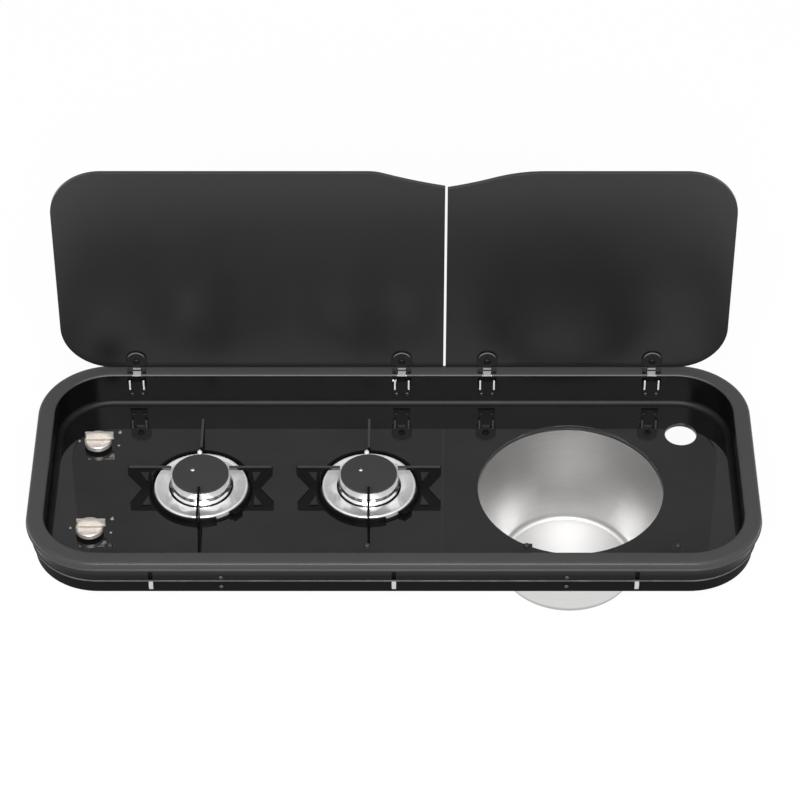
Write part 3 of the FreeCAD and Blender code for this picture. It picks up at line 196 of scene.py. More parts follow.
class Finish:
    """The node tree of one material."""

    def __init__(self, name, tree=None):
        if tree is None:
            self.material = bpy.data.materials.new(name)
            self.material.use_nodes = True
            tree = self.material.node_tree
        self.tree = tree
        tree.nodes.clear()

    def node(self, kind, settings=None, sockets=None, output=0):
        """Add a node: its settings first, then the values or links of its sockets."""
        node = self.tree.nodes.new(kind)
        for name, value in (settings or {}).items():
            setattr(node, name, value)
        for key, value in (sockets or {}).items():
            socket = find_socket(node.inputs, key)
            if isinstance(value, Signal):
                self.tree.links.new(value.socket, socket)
            else:
                socket.default_value = value
        return Signal(self, find_socket(node.outputs, output)) if len(node.outputs) else None

    def sum(self, operation, first, second):
        """One step of reckoning with two values."""
        return self.node("ShaderNodeMath", {"operation": operation}, {0: first, 1: second})

    def spot(self, centre=(0, 0, 0), stretch=(1, 1, 1), turn=(0, 0, 0)):
        """Object coordinates round a centre, stretched into a pattern's own units."""
        where = self.node("ShaderNodeTexCoord", output="Object")
        if any(centre):
            where = self.node("ShaderNodeVectorMath", {"operation": "SUBTRACT"},
                              {0: where, 1: centre})
        return self.node("ShaderNodeMapping", None,
                         {"Vector": where, "Scale": stretch, "Rotation": turn})

    def parts(self, where, axes="XYZ"):
        """A vector's parts along some axes."""
        return [self.node("ShaderNodeSeparateXYZ", None, {0: where}, axis) for axis in axes]

    def noise(self, where, scale, detail=2.0, rough=0.5):
        """Cloudy pattern, finer as the scale grows."""
        return self.node("ShaderNodeTexNoise", None, {"Vector": where, "Scale": scale,
                                                      "Detail": detail, "Roughness": rough})

    def ramp(self, value, start, end, low=0.0, high=1.0):
        """Carry value from the span start..end to low..high."""
        return self.node("ShaderNodeMapRange", None, {"Value": value, "From Min": start,
                                                      "From Max": end, "To Min": low,
                                                      "To Max": high})

    def away(self, value, place):
        """How far a value lies from a place."""
        return self.node("ShaderNodeMath", {"operation": "ABSOLUTE"}, {0: value - place})

    def band(self, value, place, half, fade):
        """One within half of a place, falling to zero over the fade beyond."""
        return self.ramp(self.away(value, place), half + fade, half)

    def blend(self, factor, first, second):
        """The first colour where the factor is zero, the second where it is one."""
        return self.node("ShaderNodeMix", {"data_type": "RGBA"},
                         {"Factor_Float": factor, "A_Color": first, "B_Color": second},
                         "Result_Color")

    def bump(self, height, strength, depth):
        """Fine relief from a pattern."""
        return self.node("ShaderNodeBump", None,
                         {"Height": height, "Strength": strength, "Distance": depth})

    def from_axis(self, centre):
        """Distance from an upright axis, turn round it and height."""
        x, y, z = self.parts(self.spot(centre))
        return (x * x + y * y) ** 0.5, self.sum("ARCTAN2", y, x), z

    def rings(self, centre, pitch):
        """Fine grooves round an upright axis, as a lathe or a spinning tool leaves them."""
        reach, around, height = self.from_axis(centre)
        return self.node("ShaderNodeCombineXYZ", None, {"X": reach * (1 / pitch), "Y": around * 0.8,
                                                        "Z": height * (1 / pitch)})

    def frame_place(self):
        """How far a point lies inside the frame's outer edge, its depth and its height."""
        x, y, z = self.parts(self.spot())
        past_x = self.away(x, 0.0) - (half_width - FRAME_CORNER)
        past_y = self.away(y, 0.0) - (half_depth - FRAME_CORNER)
        along_x, along_y = [self.sum("MAXIMUM", past, 0.0) for past in (past_x, past_y)]
        beyond = (along_x * along_x + along_y * along_y) ** 0.5
        within = self.sum("MINIMUM", self.sum("MAXIMUM", past_x, past_y), 0.0)
        return FRAME_CORNER - beyond - within, y, z

    def surface(self, **sockets):
        """Finish the material with its surface shader."""
        named = {key.replace("_", " "): value for key, value in sockets.items()}
        shader = self.node("ShaderNodeBsdfPrincipled", None, named)
        self.node("ShaderNodeOutputMaterial", None, {"Surface": shader})
        return self.material


def grey(value, warm=0.0):
    """A grey, turned a little from blue to red."""
    return (value * (1 + warm), value, value * (1 - warm), 1)


# Spans that hold most of a noise's values
GRAIN_SPAN = (0.3, 0.7)
GROOVE_SPAN = (0.35, 0.65)


def powder_coat():
    """Satin coat of the frame with a fine orange-peel grain: grey on the rim and black inside and
    below it.
    Painted shade darkens the black outer wall towards the foot, and a painted highlight runs along
    the inner edge of the rear rim."""
    coat = Finish("powder_coat")
    grain = coat.noise(coat.spot(), scale=1500, detail=3.0, rough=0.6)
    cloud = coat.noise(coat.spot(), scale=14)
    tone = coat.ramp(grain * 0.7 + cloud * 0.3, *GRAIN_SPAN)
    inset, depth, height = coat.frame_place()
    rim = (coat.ramp(height, (RIM_FLOOR - 0.8) * MM, (RIM_FLOOR + 0.2) * MM)
           * coat.ramp(inset, (RIM_WIDTH - 0.1) * MM, (RIM_WIDTH - 0.9) * MM))
    # Painted shade: the black outer wall is paler near the lip and darker towards the foot.
    outer_side = coat.ramp(inset, 16 * MM, 14 * MM)
    wall = outer_side * coat.ramp(height, 8 * MM, 19 * MM)
    black = coat.blend(wall, grey(0.003), grey(0.032))
    # Painted highlight: paler grey along the inner edge of the rear rim.
    inner_edge = coat.ramp(inset, (RIM_WIDTH - 2.3) * MM, (RIM_WIDTH - 1.1) * MM)
    painted_highlight = inner_edge * coat.ramp(depth, 140 * MM, 150 * MM)
    shade = coat.blend(painted_highlight, coat.blend(tone, grey(0.055), grey(0.07)), grey(0.11))
    return coat.surface(
        Base_Color=coat.blend(rim, black, shade),
        Roughness=coat.ramp(grain, *GRAIN_SPAN, 0.2, 0.26),
        IOR=1.25,
        Normal=coat.bump(grain, 0.14, 0.2 * MM),
    )


def dull_lacquer(name, shade, rough):
    """Dull dark lacquer of the skirt and the buffer brackets."""
    lacquer = Finish(name)
    grain = lacquer.noise(lacquer.spot(), scale=1500, detail=3.0, rough=0.6)
    return lacquer.surface(
        Base_Color=lacquer.blend(lacquer.ramp(grain, *GRAIN_SPAN), grey(shade), grey(shade * 1.7)),
        Roughness=lacquer.ramp(grain, *GRAIN_SPAN, rough - 0.06, rough + 0.06),
        IOR=1.15,
        Normal=lacquer.bump(grain, 0.1, 0.2 * MM),
    )


def hob_glass():
    """Polished black glass with the faint haze of wiping."""
    glass = Finish("hob_glass_black")
    wiped = glass.spot(stretch=(1, 2.6, 1), turn=(0, 0, 0.5))
    haze = glass.noise(wiped, scale=9, detail=5.0, rough=0.6)
    speck = glass.noise(glass.spot(), scale=900)
    return glass.surface(
        Base_Color=glass.blend(glass.ramp(haze, 0.35, 0.7), grey(0.006), grey(0.009)),
        Roughness=glass.ramp(haze + speck * 0.25, 0.4, 0.9, 0.02, 0.06),
        IOR=1.58,
    )


def lid_glass():
    """Toughened lid glass with a black print that softens what it mirrors, made paler towards the
    free edge by painted light."""
    glass = Finish("lid_glass_black")
    haze = glass.noise(glass.spot(stretch=(1, 1, 1.6)), scale=6, detail=4.0, rough=0.55)
    print_grain = glass.noise(glass.spot(), scale=2200)
    height = glass.parts(glass.spot(), "Z")[0]
    # Painted light: the base colour grows paler towards the free edge, with a little random haze.
    fade = glass.ramp(height, 180 * MM, 330 * MM) + (haze - 0.5) * 0.1
    return glass.surface(
        Base_Color=glass.blend(fade, grey(0.003), grey(0.014)),
        Roughness=glass.ramp(haze + print_grain * 0.2, 0.4, 0.8, 0.32, 0.37),
        IOR=1.53,
        Normal=glass.bump(print_grain, 0.03, 0.1 * MM),
    )


def soft_rubber(name, shade, rough):
    """Moulded rubber, plastic or foam with a dull fine grain."""
    rubber = Finish(name)
    grain = rubber.noise(rubber.spot(), scale=2600, detail=3.0, rough=0.6)
    dust = rubber.noise(rubber.spot(), scale=60, detail=3.0)
    return rubber.surface(
        Base_Color=rubber.blend(rubber.ramp(dust, 0.4, 0.7), grey(shade), grey(shade * 1.5)),
        Roughness=rubber.ramp(grain, *GRAIN_SPAN, rough - 0.06, rough + 0.08),
        IOR=1.3,
        Normal=rubber.bump(grain, 0.2, 0.2 * MM),
    )


def turned_aluminium(name, centre, top):
    """Bright turned aluminium of a burner, with rings round its axis and a darker band at the flame
    ports."""
    metal = Finish(name)
    groove = metal.noise(metal.rings(centre, 0.4 * MM), scale=1.0, detail=3.0, rough=0.65)
    smear = metal.noise(metal.spot(centre), scale=22, detail=3.0)
    drop = top - metal.parts(metal.spot(), "Z")[0]
    foot = HEAD_CROWN + HEAD_PORTS
    # Darker grey band over the height of the flame ports.
    dark_port_band = (metal.ramp(drop, HEAD_CROWN - 0.6 * MM, HEAD_CROWN + 0.4 * MM)
             * metal.ramp(drop, foot + 0.3 * MM, foot - 0.5 * MM))
    bright = metal.blend(metal.ramp(groove, *GROOVE_SPAN), grey(0.765, 0.006), grey(0.85, 0.006))
    return metal.surface(
        Base_Color=metal.blend(dark_port_band, bright, grey(0.3)),
        Metallic=1.0,
        Roughness=metal.ramp(groove * 0.6 + smear * 0.4, *GROOVE_SPAN, 0.11, 0.22),
        Anisotropic=0.55,
        Normal=metal.bump(groove, 0.1, 0.1 * MM),
    )


def sink_steel(centre, floor):
    """Spun bowl with fine rings on its wall, a duller round at its foot darkened by painted shade,
    and a floor made paler by painted light."""
    steel = Finish("sink_spun_steel")
    groove = steel.noise(steel.rings(centre, 0.6 * MM), scale=1.0, detail=3.0, rough=0.65)
    smear = steel.noise(steel.spot(centre), scale=22, detail=3.0)
    wall = steel.blend(steel.ramp(groove, *GROOVE_SPAN), grey(0.62, 0.006), grey(0.69, 0.006))
    height = steel.parts(steel.spot(), "Z")[0] - floor
    # Painted light: the floor is given a paler steel colour than the wall.
    painted_light_floor = steel.ramp(height, 5.5 * MM, 4 * MM)
    # Painted shade on the round at the foot, which is also made rougher.
    foot = steel.ramp(height, 4 * MM, 5 * MM) * steel.ramp(height, 14 * MM, 10 * MM)
    wall = steel.blend(foot, wall, grey(0.5, 0.006))
    wear_and_painted_highlight = steel.ramp(groove * 0.6 + smear * 0.4, *GROOVE_SPAN, 0.33, 0.43)
    return steel.surface(
        Base_Color=steel.blend(painted_light_floor, wall, grey(0.79, 0.004)),
        Metallic=1.0,
        Roughness=wear_and_painted_highlight + foot * 0.2,
        Anisotropic=0.55,
        Normal=steel.bump(groove, 0.1, 0.1 * MM),
    )


def polished_dish(name, centre, foot):
    """Polished spill dish, with painted shade in the thin gap round the foot of the burner head."""
    dish = Finish(name)
    smear = dish.noise(dish.rings(centre, 4 * MM), scale=1.0, detail=3.0, rough=0.6)
    reach = dish.from_axis(centre)[0]
    bright = dish.blend(dish.ramp(smear, *GROOVE_SPAN), grey(0.92), grey(0.97))
    # Painted shade: a dark ring on the dish round the foot of the burner head.
    clear_of_painted_shade = dish.ramp(reach, foot + 1.4 * MM, foot + 2.2 * MM)
    return dish.surface(
        Base_Color=dish.blend(clear_of_painted_shade, grey(0.01), bright),
        Metallic=0.5,
        Roughness=dish.ramp(smear, *GRAIN_SPAN, 0.05, 0.08),
    )


def sheet_metal(name, colour, rough, stretch=(1, 1, 1), scale=900, metallic=1.0):
    """Drawn or plated metal with a grain stretched along the way it was worked."""
    metal = Finish(name)
    grain = metal.noise(metal.spot(stretch=stretch), scale, detail=3.0, rough=0.6)
    patina = metal.noise(metal.spot(), scale=40, detail=4.0, rough=0.6)
    wear_and_painted_highlight = tuple(part * 0.82 for part in colour[:3]) + (1,)
    tone = metal.ramp(grain * 0.6 + patina * 0.4, *GROOVE_SPAN)
    wear = grain * 0.5 + patina * 0.5
    return metal.surface(
        Base_Color=metal.blend(tone, wear_and_painted_highlight, colour),
        Metallic=metallic,
        Roughness=metal.ramp(wear, *GROOVE_SPAN, rough - 0.06, rough + 0.07),
        Normal=metal.bump(grain, 0.08, 0.1 * MM),
    )


def cap_enamel(name):
    """Dark vitreous enamel of a burner cap, slightly pebbled."""
    fired = Finish(name)
    pebble = fired.noise(fired.spot(), scale=520, detail=3.0, rough=0.55)
    fleck = fired.noise(fired.spot(), scale=2400, detail=1.0)
    return fired.surface(
        Base_Color=fired.blend(fired.ramp(fleck, 0.55, 0.75), grey(0.05), grey(0.05 * 1.4)),
        Roughness=fired.ramp(pebble, *GRAIN_SPAN, 0.3, 0.44),
        IOR=1.2,
        Normal=fired.bump(pebble, 0.1, 0.2 * MM),
    )


def support_enamel(top, left, right):
    """Black enamel of the pan supports, with a grey painted highlight on the top edges of the side
    and rear fingers, and paler grey on the flanks of the side fingers over the dishes."""
    fired = Finish("support_enamel")
    pebble = fired.noise(fired.spot(), scale=520, detail=3.0, rough=0.55)
    x, depth, height = fired.parts(fired.spot())
    # Painted highlight: grey on the top edges of the side and rear fingers.
    top_edge = fired.ramp(height + pebble * (0.6 * MM), top - 0.7 * MM, top)
    painted_highlight = top_edge * fired.ramp(depth, -20 * MM, -6 * MM)
    # Paler grey on the flanks of the side fingers where they lie over the dishes.
    across = fired.sum("MINIMUM", fired.away(x, left[0]), fired.away(x, right[0]))
    over_dish = fired.ramp(across + pebble * (2 * MM), 49 * MM, 46 * MM)
    side_finger = fired.band(depth, left[1], 5 * MM, 1 * MM)
    flank = fired.ramp(height, top - 1.0 * MM, top - 1.6 * MM)
    black = fired.blend(over_dish * side_finger * flank, grey(0.004), grey(0.15))
    return fired.surface(
        Base_Color=fired.blend(painted_highlight, black, grey(0.06)),
        Roughness=fired.ramp(pebble, *GRAIN_SPAN, 0.3, 0.44),
        IOR=1.2,
        Normal=fired.bump(pebble, 0.1, 0.2 * MM),
    )


def leaf_lacquer():
    """Black lacquer of the hinge leaves, with painted highlights on the neck and along the rounded
    top.
    """
    lacquer = Finish("leaf_lacquer")
    grain = lacquer.noise(lacquer.spot(), scale=900, detail=3.0, rough=0.6)
    x, z = lacquer.parts(lacquer.spot(), "XZ")
    height = z + grain * (0.4 * MM)
    # Painted highlight: a pale band on the neck and a glint along the rounded top.
    neck = lacquer.band(height, 32.9 * MM, 4.9 * MM, 0.7 * MM)
    crank = lacquer.band(height, 34.0 * MM, 0.8 * MM, 0.5 * MM)
    leaves = islands("left_hinge_leaves") + islands("right_hinge_leaves")
    across = lacquer.away(x, (leaves[0][0].x + leaves[0][1].x) / 2)
    for low, high in leaves[1:]:
        across = lacquer.sum("MINIMUM", across, lacquer.away(x, (low.x + high.x) / 2))
    rise = z - (leaves[0][1].z - LEAF_ROUND)
    reach = (across * across + rise * rise) ** 0.5
    top = (lacquer.ramp(reach, LEAF_ROUND - 2.4 * MM, LEAF_ROUND - 1.7 * MM)
           * lacquer.ramp(reach, LEAF_ROUND - 0.3 * MM, LEAF_ROUND - 0.8 * MM)
           * lacquer.ramp(rise, 3 * MM, 9 * MM))
    wear_and_painted_highlight = lacquer.sum("MAXIMUM", neck * (1 - crank), top * 0.6)
    return lacquer.surface(
        Base_Color=lacquer.blend(wear_and_painted_highlight, grey(0.008), grey(0.35)),
        Roughness=lacquer.ramp(grain, *GRAIN_SPAN, 0.22, 0.32),
        IOR=1.28,
        Normal=lacquer.bump(grain, 0.08, 0.1 * MM),
    )


def ear_lacquer(front):
    """Black lacquer of the hinge brackets, with a painted highlight on the front edges of their
    ears.
    """
    lacquer = Finish("ear_lacquer")
    grain = lacquer.noise(lacquer.spot(), scale=900, detail=3.0, rough=0.6)
    depth = lacquer.parts(lacquer.spot(), "Y")[0] - front
    # Painted highlight: pale grey on the front edges of the ears.
    wear_and_painted_highlight = lacquer.ramp(depth + grain * (0.4 * MM), 1.3 * MM, 0.6 * MM)
    return lacquer.surface(
        Base_Color=lacquer.blend(wear_and_painted_highlight, grey(0.008), grey(0.75)),
        Roughness=lacquer.ramp(grain, *GRAIN_SPAN, 0.22, 0.32),
        IOR=1.2,
        Normal=lacquer.bump(grain, 0.08, 0.1 * MM),
    )


def glazed_ceramic():
    """White insulator with a thin glaze."""
    glaze = Finish("white_ceramic")
    tint = glaze.noise(glaze.spot(), scale=700, detail=3.0)
    return glaze.surface(
        Base_Color=glaze.blend(glaze.ramp(tint, 0.35, 0.7), grey(0.78, 0.02), grey(0.86, 0.01)),
        Roughness=glaze.ramp(tint, *GRAIN_SPAN, 0.16, 0.28),
    )


def white_ink():
    """Fired-on print on the glass."""
    ink = Finish("white_ink")
    grain = ink.noise(ink.spot(), scale=3000)
    return ink.surface(
        Base_Color=ink.blend(ink.ramp(grain, 0.35, 0.7), grey(0.3), grey(0.4)),
        Roughness=ink.ramp(grain, *GRAIN_SPAN, 0.4, 0.55),
    )


support_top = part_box("left_pan_support")[1].z
heads = {side: middle(f"{side}_burner_head") for side in ("left", "right")}
finishes = {
    "frame_black": powder_coat(),
    "hob_glass": hob_glass(),
    "lid_glass": lid_glass(),
    "black_rubber": soft_rubber("bead_rubber", 0.006, 0.42),
    "grey_foam": soft_rubber("seal_foam", 0.11, 0.85),
    "sink_steel": sink_steel(middle("sink_bowl"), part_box("sink_bowl")[0].z),
    "tray_steel": sheet_metal("tray_galvanised", grey(0.5), 0.42, scale=260),
    "zinc_steel": sheet_metal("zinc_plate", grey(0.62, 0.01), 0.3),
    "brass": sheet_metal("turned_brass", (0.72, 0.5, 0.2, 1), 0.28),
    "copper_pipe": sheet_metal("drawn_copper", (0.72, 0.38, 0.25, 1), 0.3, stretch=(1, 0.08, 1)),
    "satin_nickel": sheet_metal("satin_nickel", (0.62, 0.58, 0.54, 1), 0.36,
                                stretch=(0.05, 1, 1), scale=2400, metallic=0.5),
    "hinge_black": leaf_lacquer(),
    "grey_plastic": soft_rubber("moulded_grey_plastic", 0.12, 0.45),
    "black_enamel": support_enamel(support_top, heads["left"], heads["right"]),
    "white_ceramic": glazed_ceramic(),
    "white_ink": white_ink(),
}
for side, centre in heads.items():
    low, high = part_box(f"{side}_burner_head")
    foot = (high.x - low.x) / 2
    finishes[f"{side}_cast_aluminium"] = turned_aluminium(f"{side}_turned_aluminium", centre,
                                                          high.z)
    finishes[f"{side}_spill_dish"] = polished_dish(f"{side}_polished_dish", centre, foot)
    finishes[f"{side}_burner_cap"] = cap_enamel(f"{side}_cap_enamel")
finishes["polished_steel"] = sheet_metal("polished_steel", grey(0.8), 0.1)
finishes["frame_screws"] = sheet_metal("black_zinc_screws", grey(0.11), 0.34)
finishes["bracket_screws"] = finishes["frame_screws"]
finishes["buffer_brackets"] = dull_lacquer("buffer_lacquer", 0.024, 0.4)
finishes["lid_buffers"] = soft_rubber("buffer_rubber", 0.03, 0.3)
finishes["base_frame"] = dull_lacquer("skirt_lacquer", 0.004, 0.56)
finishes["hinge_brackets"] = ear_lacquer(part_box("hinge_brackets")[0].y)


# Pieces

slots = {row["node"]: row["material_slot"] for row in record["subparts"]}


def body_of(node):
    """The body that a node moves with."""
    return frame["nodes"][node]["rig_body"]


def finish_of(node):
    """The finish of a node or of its slot; burner parts have one set on their own burner."""
    side = node.split("_")[0]
    for name in (node, f"{side}_{slots[node]}"):
        if name in finishes:
            return finishes[name]
    return finishes[slots[node]]


def soften_edges(made, edge):
    """Round the sharp edges of an object."""
    soften = made.modifiers.new("soft_edge", "BEVEL")
    soften.width = edge
    soften.segments = 2
    soften.limit_method = "ANGLE"
    soften.angle_limit = math.radians(CREASE)
    flatten = made.modifiers.new("flat_faces", "WEIGHTED_NORMAL")
    flatten.keep_sharp = True


def show(name, mesh, finish, edge=0.0):
    """Make an object of a mesh, with edges softened by a small round."""
    data = bpy.data.meshes.new(name)
    mesh.to_mesh(data)
    mesh.free()
    data.materials.append(finish)
    data.shade_smooth()
    made = bpy.data.objects.new(name, data)
    scene.collection.objects.link(made)
    if edge > 0:
        soften_edges(made, edge)
    else:
        data.set_sharp_from_angle(angle=math.radians(CREASE))
    return made


def stand_for(made, *nodes):
    """Let a piece take the place of some nodes of one body."""
    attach(made, body_of(nodes[0]))
    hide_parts(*nodes)


def merged(node):
    """Copy of a node's mesh with its flat faces made whole."""
    mesh = joined(node)
    bmesh.ops.dissolve_limit(mesh, angle_limit=math.radians(FLAT_ANGLE),
                             verts=mesh.verts, edges=mesh.edges)
    return mesh


# Nodes kept in their own shape, with the round of their edges in millimetres
EDGES = {
    "hob_glass": 0.5, "left_lid": 0.2, "right_lid": 0.2,
    "left_pan_support": 0.45, "right_pan_support": 0.45,
    "left_hinge_leaves": 0.7, "right_hinge_leaves": 0.7, "hinge_brackets": 0.3,
    "left_hinge_caps": 0.4, "right_hinge_caps": 0.4, "hinge_pins": 0.2,
    "buffer_brackets": 0.25, "lid_buffers": 0.5, "worktop_clips": 1.4,
    "left_burner_head": 0.15, "right_burner_head": 0.15,
    "left_burner_cap": 0.3, "right_burner_cap": 0.3,
}
# Nodes that are drawn again below with more detail
DETAILED = {
    "surround_frame", "base_frame", "worktop_seal", "glass_bead",
    "frame_screws", "bracket_screws", "left_hinge_clamp_screws", "right_hinge_clamp_screws",
    "rear_knob", "front_knob",
}
for node in frame["nodes"]:
    if node not in DETAILED:
        edge = EDGES.get(node, 0.0) * MM
        stand_for(show(f"{node}_skin", merged(node), finish_of(node), edge), node)


def box_cutter(mesh, low, high):
    """Add a box to a mesh of cutters."""
    made = bmesh.ops.create_cube(mesh, size=1.0)
    size = Vector(high) - Vector(low)
    centre = (Vector(high) + Vector(low)) / 2
    bmesh.ops.transform(mesh, matrix=Matrix.Translation(centre) @ Matrix.Diagonal((*size, 1)),
                        verts=made["verts"])


def bake(made, modifier, crease=CREASE):
    """Keep what a modifier makes of an object, without the modifier."""
    bpy.context.view_layer.update()
    graph = bpy.context.evaluated_depsgraph_get()
    baked = bpy.data.meshes.new_from_object(made.evaluated_get(graph))
    made.modifiers.remove(modifier)
    made.data = baked
    baked.shade_smooth()
    baked.set_sharp_from_angle(angle=math.radians(crease))


def carve(made, cutters):
    """Cut a mesh of cutters out of an object for good."""
    tool = show("cutter", cutters, None)
    shave = made.modifiers.new("carve", "BOOLEAN")
    shave.operation = "DIFFERENCE"
    shave.solver = "EXACT"
    shave.use_self = True
    shave.object = tool
    bake(made, shave)
    bpy.data.objects.remove(tool)


# Knobs: a shallow panel sunk in the front of the grip bar, and a groove at its foot.
# The cuts are in millimetres from the right end, the front face and the top of the bar.

PANEL_CUT = ((-34, -1, -8.2), (-2, 0.8, -1.6))
GROOVE_CUT = ((-40, -1, -11.3), (1, 1.2, -9.9))

for place in ("rear", "front"):
    right_end, _, bar_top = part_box(f"{place}_knob")[1]
    bar_front = middle(f"{place}_valve_stem")[1] - GRIP_HALF
    corner = (right_end, bar_front, bar_top)
    knob = show(f"{place}_knob_grip", merged(f"{place}_knob"), finish_of(f"{place}_knob"))
    cuts = bmesh.new()
    for cut in (PANEL_CUT, GROOVE_CUT):
        low, high = [[at + part * MM for at, part in zip(corner, end)] for end in cut]
        box_cutter(cuts, low, high)
    carve(knob, cuts)
    soften_edges(knob, GRIP_EDGE)
    stand_for(knob, f"{place}_knob")


# Frame mouldings, drawn as sections carried round the outer edge

CORNER_STEPS = 28


def edge_path():
    """Points of the frame's outer edge, each with the way inwards."""
    path = []
    along_x, along_y = half_width - FRAME_CORNER, half_depth - FRAME_CORNER
    for quarter, (side_x, side_y) in enumerate(((1, 1), (-1, 1), (-1, -1), (1, -1))):
        centre = Vector((side_x * along_x, side_y * along_y, 0))
        for step in range(CORNER_STEPS + 1):
            angle = math.pi / 2 * (quarter + step / CORNER_STEPS)
            out = Vector((math.cos(angle), math.sin(angle), 0))
            path.append((centre + out * FRAME_CORNER, -out))
    return path


def arc(centre, radius, start, end, steps):
    """Points of an arc in a section, by angles in degrees."""
    turns = [math.radians(start + (end - start) * step / steps) for step in range(steps + 1)]
    return [(centre[0] + radius * math.cos(turn), centre[1] + radius * math.sin(turn))
            for turn in turns]


def moulding(section):
    """Closed ring from (inset, height) points in millimetres."""
    mesh = bmesh.new()
    rows = [[mesh.verts.new(spot + inward * inset * MM + Vector((0, 0, height * MM)))
             for inset, height in section] for spot, inward in edge_path()]
    for row, after in zip(rows, rows[1:] + rows[:1]):
        for index in range(len(section)):
            index_after = (index + 1) % len(section)
            mesh.faces.new((row[index], row[index_after], after[index_after], after[index]))
    bmesh.ops.recalc_face_normals(mesh, faces=mesh.faces)
    return mesh


wall_back = WALL_INSET + FRAME_WALL
rim_back = RIM_WIDTH - FRAME_WALL
under_top = RIM_TOP - FRAME_WALL
over_floor = RIM_FLOOR + FRAME_WALL
outer_round = (RIM_SETBACK + RIM_OUTER_ROUND, RIM_TOP - RIM_OUTER_ROUND)
inner_round = (RIM_WIDTH - RIM_INNER_ROUND, RIM_TOP - RIM_INNER_ROUND)
surround_section = (
    [(WALL_INSET, SEAL_TOP), (WALL_INSET, RIM_FLOOR)]
    + arc((RIM_BEAD, RIM_FLOOR + RIM_BEAD), RIM_BEAD, 270, 112, 10)
    + arc(outer_round, RIM_OUTER_ROUND, 180, 90, 10)
    + arc(inner_round, RIM_INNER_ROUND, 90, 0, 8)
    + [(RIM_WIDTH, LEDGE_TOP), (rim_back, LEDGE_TOP), (rim_back, under_top),
       (FRAME_WALL, under_top), (FRAME_WALL, over_floor), (wall_back, over_floor),
       (wall_back, SEAL_TOP)]
)
surround = show("surround_moulding", moulding(surround_section), finishes["frame_black"])

# Cuts for each hinge in millimetres: half width, front, back and top
NECK_SLOT = (6, 157.5, 164, 40)
LEAF_NOTCH = (12, 163, 175.5, 40)
EAR_WINDOW = (12, 157.5, 163.5, 30)
HINGE_CUT_FLOOR = 16 * MM

# Window for each worktop clip
CLIP_HALF = 2.7 * MM
CLIP_DEPTH = 9.15 * MM
CLIP_FLOOR = 3 * MM
CLIP_TOP = 15 * MM

notches = bmesh.new()
for low, high in islands("hinge_brackets"):
    hinge_x = (low.x + high.x) / 2
    for half_slot, front, back, top in (NECK_SLOT, LEAF_NOTCH, EAR_WINDOW):
        box_cutter(notches, (hinge_x - half_slot * MM, front * MM, HINGE_CUT_FLOOR),
                   (hinge_x + half_slot * MM, back * MM, top * MM))
for low, high in islands("worktop_clips"):
    clip_x = (low.x + high.x) / 2
    outer = half_depth if low.y > 0 else -half_depth
    inner = outer * (1 - CLIP_DEPTH / half_depth)
    box_cutter(notches, (clip_x - CLIP_HALF, min(outer, inner), CLIP_FLOOR),
               (clip_x + CLIP_HALF, max(outer, inner), CLIP_TOP))
carve(surround, notches)
stand_for(surround, "surround_frame")

skirt_back = SKIRT_INSET + FRAME_WALL
ledge_foot = LEDGE_TOP - FRAME_WALL
skirt_section = [
    (SKIRT_INSET, ledge_foot), (LEDGE_INSET, ledge_foot), (LEDGE_INSET, LEDGE_TOP),
    (skirt_back, LEDGE_TOP), (skirt_back, SKIRT_RISE), (SKIRT_INSET, SKIRT_RISE),
]
skirt = show("skirt_moulding", moulding(skirt_section), finishes["base_frame"], SKIRT_EDGE)
stand_for(skirt, "base_frame")

seal_section = [(SEAL_INSET, 0.0), (wall_back, 0.0), (wall_back, SEAL_TOP), (SEAL_INSET, SEAL_TOP)]
stand_for(show("seal_strip", moulding(seal_section), finishes["grey_foam"]), "worktop_seal")

bead_foot = glass_top / MM
bead_round = (RIM_WIDTH + GLASS_BEAD, bead_foot + GLASS_BEAD)
bead_section = [(RIM_WIDTH, bead_foot)] + arc(bead_round, GLASS_BEAD, 270, 180, 10)
stand_for(show("bead_strip", moulding(bead_section), finishes["black_rubber"]), "glass_bead")


# Screws, set on points by a node tree

# Head radius, head height and shank radius in millimetres
SMALL_SCREW = (2.6, 1.2, 1.5)
CLAMP_SCREW = (4.5, 2.2, 2.0)


